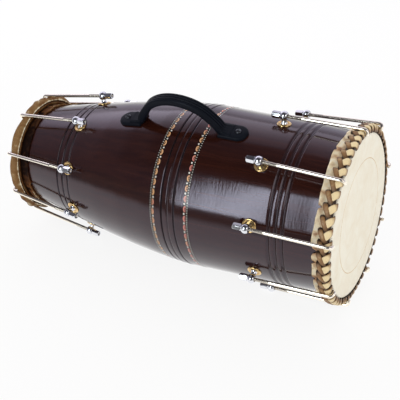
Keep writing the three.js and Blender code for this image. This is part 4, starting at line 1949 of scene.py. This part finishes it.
@dataclass
class Handle:
    """The moulded carrying handle: a ribbed arch on two screwed feet.

    A pair of shares is how far out of half the span, and how far up the rise.
    """

    barrel: Barrel
    angle: float = -20.0
    place: float = -15.0
    rise: float = 43.0
    span: float = 120.0
    width: float = 15.0
    thickness: float = 10.0
    corner: float = 2.4
    rib_width: float = 1.7
    rib_depth: float = 1.5
    rib_pitch: float = 3.6
    foot_length: float = 36.0
    foot_width: float = 24.0
    foot_thickness: float = 4.5
    foot_overlap: float = 3.7
    foot_lift: float = 0.12
    toe: tuple[float, ...] = (1.2, 1.1)
    blend: float = 20.0
    stations: int = 72
    shares: tuple[tuple[float, float], ...] = (
        (1, 0), (0.87, 0.27), (0.75, 0.5), (0.62, 0.7), (0.47, 0.84), (0.25, 0.957), (0, 1),
    )

    def section(self, cut: float) -> np.ndarray:
        """The grip's section, counterclockwise, with three grooves on top.

        Args:
            cut: How much of their depth the grooves have, from 0 to 1.

        Returns:
            Pairs of a place across and a height.
        """
        wide, thick, corner = self.width / 2, self.thickness / 2, self.corner
        points: list[tuple[float, float]] = []
        for x, z, start in ((-1, -1, 180), (1, -1, 270), (1, 1, 0), (-1, 1, 90)):
            for turn in (0, 30, 60, 90):
                angle = math.radians(start + turn)
                across = x * (wide - corner) + corner * math.cos(angle)
                points.append((across, z * (thick - corner) + corner * math.sin(angle)))
            if start == 0:
                for middle in (self.rib_pitch, 0.0, -self.rib_pitch):
                    for share in (0.5, 0.32, 0.15, 0.0, -0.15, -0.32, -0.5):
                        depth = cut * self.rib_depth * (0.5 + 0.5 * math.cos(TURN * share))
                        points.append((middle + self.rib_width * share, thick - depth))
        return np.array(points)

    @staticmethod
    def runs(line: np.ndarray) -> np.ndarray:
        """How far along a line each of its points is."""
        return np.concatenate([[0], np.cumsum(np.linalg.norm(np.diff(line, axis=0), axis=1))])

    def arch(self) -> tuple[np.ndarray, np.ndarray]:
        """The grip's middle line and how far it leans along the way.

        Returns:
            Places and radii along the line, and the lean at each in radians.
        """
        top = self.barrel.belly_radius + self.rise - self.thickness / 2
        line = []
        for side in (-1, 1):
            end = self.place + side * self.span / 2
            low = float(self.barrel.radius(end)) + self.barrel.gap + self.foot_thickness / 2
            half = [(share * self.span / 2 * side + self.place, low) for share in self.toe]
            for out, up in self.shares:
                half.append((self.place + side * out * self.span / 2, low + up * (top - low)))
            line += half if side < 0 else half[::-1][1:]
        points = np.array(line)
        run = self.runs(points)
        ahead = np.gradient(points, run, axis=0)
        smooth = []
        for at in np.linspace(0, run[-1], self.stations):
            i = min(int(np.searchsorted(run, at, side="right")) - 1, len(run) - 2)
            length = run[i + 1] - run[i]
            s = (at - run[i]) / length
            smooth.append(
                (2 * s ** 3 - 3 * s ** 2 + 1) * points[i] + (s ** 3 - 2 * s ** 2 + s) * length * ahead[i]
                + (3 * s ** 2 - 2 * s ** 3) * points[i + 1] + (s ** 3 - s ** 2) * length * ahead[i + 1]
            )
        smooth = np.array(smooth)
        slope = np.gradient(smooth, axis=0)
        return smooth, np.arctan2(-slope[:, 1], slope[:, 0])

    def grip(self) -> Form:
        """The arched grip, flatter and wider where it runs out into its feet.

        Returns:
            The grip in the handle's own plane, Z outwards.
        """
        line, leans = self.arch()
        run = self.runs(line)
        grown = np.clip(np.minimum(run, run[-1] - run) / self.blend, 0.0, 1.0)
        rings = []
        for (x, r), lean, share in zip(line, leans, grown * grown * (3 - 2 * grown)):
            wide, thick = 1.4 - 0.4 * share, 0.4 + 0.6 * share
            rings.append([
                (x + thick * up * math.sin(lean), wide * across, r + thick * up * math.cos(lean))
                for across, up in self.section(share ** 2)
            ])
        return Form().loft(rings, caps=True)

    def foot(self, side: int) -> Form:
        """One foot: a pad with a round outer end, curved to the barrel.

        Args:
            side: -1 for the treble side, 1 for the bass side.

        Returns:
            The foot in the handle's own plane.
        """
        start = self.place + side * (self.span / 2 - self.foot_overlap)
        half, straight = self.foot_width / 2, self.foot_length - self.foot_width / 2
        outline = [(x, -half) for x in np.linspace(0, straight, 8)]
        outline += [
            (straight + half * math.cos(turn), half * math.sin(turn))
            for turn in np.linspace(-math.pi / 2, math.pi / 2, 19)[1:-1]
        ]
        outline += [(x, half) for x in np.linspace(straight, 0, 8)]
        shape, middle = np.array(outline), np.array([straight * 0.6, 0.0])
        rings = []
        for inset, level in ((0, 0), (0, 0.5), (0.4, 0.78), (1.2, 0.94), (2.8, 1.0), (8.5, 1.0)):
            flat = middle + (shape - middle) * (1 - inset / half)
            place = start + side * flat[:, 0]
            ground = self.barrel.radius(place) + self.foot_lift
            radius, turn = ground + level * self.foot_thickness, flat[:, 1] / ground
            rings.append(np.column_stack([place, radius * np.sin(turn), radius * np.cos(turn)]))
        return Form().loft(rings, caps=True)

    @staticmethod
    def screw() -> Form:
        """A domed screw head with a cross recess.

        Returns:
            The head about Z, its seat at zero.
        """
        turns = np.linspace(0, TURN, 32, endpoint=False)
        recess_reach, recess_half, recess_depth = 2.5, 0.55, 1.1
        rings = []
        for radius, height in (
            (3.9, -0.6), (3.9, 0.5), (3.6, 1.1), (2.9, 1.6),
            (2.1, 1.9), (1.4, 2.0), (0.7, 2.05), (0.15, 2.05),
        ):
            x, y = radius * np.cos(turns), radius * np.sin(turns)
            cross = np.minimum(np.abs(x), np.abs(y)) < recess_half
            sunk = np.where(cross & (radius < recess_reach), recess_depth, 0.0)
            rings.append(np.column_stack([x, y, height - sunk]))
        return Form().loft(rings, caps=True)

    def build(self, bench: Bench) -> None:
        """Builds the handle and its two screws.

        Args:
            bench: What every piece is made with.
        """
        form = self.grip().join(self.foot(-1)).join(self.foot(1))
        swing = Matrix.Rotation(-math.radians(self.angle), 4, "X")
        made = bench.piece("handle_moulding", form.moved(swing).mesh("handle"), MouldedPlastic(), sharp=50)
        attach(made, ["handle"])
        reach = self.span / 2 - self.foot_overlap + self.foot_length - self.foot_width / 2
        low, high = self.place - reach, self.place + reach
        tops = [float(self.barrel.radius(x)) + self.foot_lift + self.foot_thickness for x in (low, high)]
        falls = [self.barrel.fall(x) * math.copysign(1, x) for x in (low, high)]
        values = {
            "Place": low, "Place Step": high - low, "Radius": tops[0], "Radius Step": tops[1] - tops[0],
            "Fall": falls[0], "Fall Step": falls[1] - falls[0],
            "Angle": math.radians(self.angle), "Angle Step": 0.0, "Towards": 1.0, "Count": 2,
        }
        screws = bench.repeated("handle_screws", self.screw(), BlackedSteel(), bench.standing, values)
        attach(screws, ["handle"])


# The studio


class Side(Enum):
    """The side of its face along which a soft box fades; the value is the axis."""

    WIDTH = "X"
    HEIGHT = "Y"


@dataclass(frozen=True)
class SoftBox:
    """One rectangular soft box that the camera doesn't see.

    Its radiance is how bright its face is, where 1 is white.
    """

    name: str
    place: tuple[float, float, float]
    aim: tuple[float, float, float]
    size: tuple[float, float]
    radiance: float
    colour: str
    fades: Side | None = None
    stops: Stops = ()
    mirrored: bool = True
    lights: bool = True

    def hang(self) -> None:
        """Hangs the box, and fades it along one side of its face if it says so."""
        data = bpy.data.lights.new(self.name, "AREA")
        data.shape = "RECTANGLE"
        data.size, data.size_y = self.size
        data.color = linear(self.colour)[:3]
        data.energy = self.radiance * math.pi * self.size[0] * self.size[1]
        made = bpy.data.objects.new(self.name, data)
        made.location = self.place
        made.rotation_mode = "QUATERNION"
        made.rotation_quaternion = (Vector(self.aim) - Vector(self.place)).to_track_quat("-Z", "Y")
        made.visible_camera = False
        made.visible_glossy = self.mirrored
        made.visible_diffuse = self.lights
        bpy.context.collection.objects.link(made)
        if self.fades:
            data.use_nodes = True
            tree = data.node_tree
            face = add(tree, "ShaderNodeNewGeometry", output="Parametric")
            way = add(tree, SEPARATE, {0: face}, self.fades.value)
            level = add(tree, RAMP, {"Fac": way}, stops=self.stops)
            level.node.color_ramp.interpolation = "EASE"
            feed(tree, tree.nodes["Emission"], {"Strength": level})


@dataclass
class Studio:
    """A pale floor, soft boxes and the camera at the photograph's angle."""

    camera_place: tuple[float, float, float] = (0.4705, -0.8411, 0.6318)
    camera_right: tuple[float, float, float] = (0.8817, 0.4718, -0.0052)
    camera_down: tuple[float, float, float] = (0.2308, -0.4409, -0.8674)
    lens: float = 72.467
    sensor: float = 36.0
    farthest: float = 50.0
    floor_size: float = 9.0
    paper: str = "#f4f4f4"
    paper_glow: float = 0.88
    mirrored_glow: float = 0.35
    paper_edge: float = 0.34
    paper_fade: float = 0.15
    room_glow: float = 0.25
    room_tint: str = "#eeebff"
    soft_share: float = 0.62
    boxes: tuple[SoftBox, ...] = (
        SoftBox("overhead_box", (-0.7, 0.9, 1.2), (-0.7, 0.9, 0.0), (2.6, 1.5), 1.15, "#f8f2ff",
                fades=Side.HEIGHT, stops=((0.0, "#9c9c9c"), (0.45, "#ffffff"))),
        SoftBox("left_box", (-1.6, 0.9, 1.25), (-1.6, 0.9, 0.0), (0.9, 1.5), 0.6, "#f2e8ff"),
        SoftBox("side_box", (1.5, -0.7, 0.9), (0.1, 0.0, 0.1), (1.0, 1.0), 2.1, "#fffaf2"),
        SoftBox("front_box", (-0.5, -1.3, 0.8), (0.0, 0.0, 0.1), (1.0, 0.8), 1.7, "#fffaf4",
                mirrored=False),
        SoftBox("window_box", (-0.2, -1.0, 0.5), (-0.2, 0.0, 0.5), (0.42, 0.9), 9.8, "#f4fdff",
                fades=Side.WIDTH, lights=False,
                stops=((0.06, "#000000"), (0.32, "#ffffff"), (0.5, "#f8f8f8"), (0.8, "#b4b4b4"))),
    )

    def camera(self) -> None:
        """Places the camera and makes it the scene's, with Z behind it and Y up."""
        data = bpy.data.cameras.new("camera")
        data.lens, data.sensor_width, data.clip_end = self.lens, self.sensor, self.farthest
        right, down = Vector(self.camera_right).normalized(), Vector(self.camera_down)
        up = -(down - right * down.dot(right)).normalized()
        made = bpy.data.objects.new("camera", data)
        sides = Matrix((right, up, right.cross(up))).transposed().to_4x4()
        made.matrix_world = Matrix.Translation(self.camera_place) @ sides
        bpy.context.collection.objects.link(made)
        bpy.context.scene.camera = made

    def floor(self) -> None:
        """Lays the pale paper, white to the eye, with the dim room mirrored past its front edge."""
        half = self.floor_size / 2
        corners = [(-half, -half, 0), (half, -half, 0), (half, half, 0), (-half, half, 0)]
        mesh = bpy.data.meshes.new("floor")
        mesh.from_pydata(corners, [], [(0, 1, 2, 3)])
        floor = bpy.data.objects.new("floor", mesh)
        bpy.context.collection.objects.link(floor)
        material = bpy.data.materials.new("PalePaper")
        material.use_nodes = True
        tree = material.node_tree
        tree.nodes.clear()
        white = linear("#ffffff")
        rays = add(tree, "ShaderNodeLightPath").node.outputs
        glossy = rays["Is Glossy Ray"]
        seen = add(tree, MATH, {0: rays["Is Camera Ray"], 1: glossy}, operation="MAXIMUM")
        through = add(tree, MATH, {0: seen, 1: rays["Is Transmission Ray"]}, operation="MAXIMUM")
        share = add(tree, MATH, {0: through, 1: self.paper_glow}, operation="MULTIPLY")
        paper = add(tree, "ShaderNodeBsdfDiffuse", {"Color": linear(self.paper)})
        glow = add(tree, MATH, {0: glossy, 1: self.mirrored_glow, 2: 1.0}, operation="MULTIPLY_ADD")
        shining = add(tree, EMISSION, {"Color": white, "Strength": glow})
        lit = add(tree, "ShaderNodeMixShader", {0: share, 1: paper, 2: shining})
        towards = add(tree, SEPARATE, {0: add(tree, COORDINATE, output="Object")}, "Y")
        ends = {"From Min": -self.paper_edge, "From Max": -self.paper_edge - self.paper_fade}
        past = add(tree, RANGE, {"Value": towards, **ends})
        beyond = add(tree, MATH, {0: past, 1: glossy}, operation="MULTIPLY")
        dim = add(tree, EMISSION, {"Color": white, "Strength": self.room_glow})
        mixed = add(tree, "ShaderNodeMixShader", {0: beyond, 1: lit, 2: dim})
        add(tree, "ShaderNodeOutputMaterial", {"Surface": mixed})
        mesh.materials.append(material)

    def world(self) -> None:
        """Makes the surroundings: white where seen, and a dimmer room behind the camera."""
        world = bpy.data.worlds.new("studio")
        bpy.context.scene.world = world
        world.use_nodes = True
        tree = world.node_tree
        tree.nodes.clear()
        rays = add(tree, "ShaderNodeLightPath").node.outputs
        around = add(tree, COORDINATE, output="Generated")
        way = add(tree, SEPARATE, {0: around}).node.outputs
        inputs = {"Value": way["Y"], "From Min": -0.5, "From Max": 0.15, "To Min": 0.22, "To Max": 1.0}
        back = add(tree, RANGE, inputs)
        inputs = {"Value": way["Z"], "From Min": 0.3, "From Max": 0.75, "To Min": 1.0, "To Max": 0.16}
        room = add(tree, MATH, {0: back, 1: add(tree, RANGE, inputs)}, operation="MULTIPLY")
        inputs = {0: rays["Is Glossy Ray"], 1: rays["Is Transmission Ray"]}
        glossy = add(tree, MATH, inputs, operation="MAXIMUM")
        soft = add(tree, MIX, {0: glossy, 2: self.soft_share, 3: room})
        level = add(tree, MIX, {0: rays["Is Camera Ray"], 2: soft, 3: 1.0})
        upward = add(tree, RANGE, {"Value": way["Z"], "From Min": 0.0, "From Max": 0.15})
        tinted = add(tree, MATH, {0: upward, 1: rays["Is Glossy Ray"]}, operation="MULTIPLY")
        inputs = {0: tinted, 6: linear("#ffffff"), 7: linear(self.room_tint)}
        tint = add(tree, MIX, inputs, 2, data_type="RGBA")
        background = add(tree, "ShaderNodeBackground", {"Color": tint, "Strength": level})
        add(tree, "ShaderNodeOutputWorld", {"Surface": background})

    def build(self) -> None:
        """Sets up the whole studio."""
        self.camera()
        self.floor()
        self.world()
        for box in self.boxes:
            box.hang()
        bpy.context.scene.view_settings.view_transform = "Standard"


def main() -> None:
    """Builds the studio and then the drum, one sub-assembly after another."""
    logging.basicConfig(level=logging.INFO, format="%(message)s")
    barrel = Barrel()
    drum = DrumFrame.from_record(frame["record"], barrel.bass_face)
    joints = {joint["name"]: joint for joint in frame["joints"]}
    Studio().build()
    rows, standing = WrappedRow("row wrapped round the barrel"), StandingRow("units standing on the barrel")
    bench = Bench(drum, rows, standing)
    Shell(barrel).build(bench)
    BassHead(barrel).build(bench)
    Gajra(barrel).build(bench)
    TrebleHead(barrel).build(bench)
    TuningHardware(End.BASS, barrel, inset=99.5, first_angle=40.0).build(bench, joints)
    TuningHardware(End.TREBLE, barrel, inset=104.3, first_angle=50.0).build(bench, joints)
    Handle(barrel).build(bench)


if __name__ == "__main__":
    main()
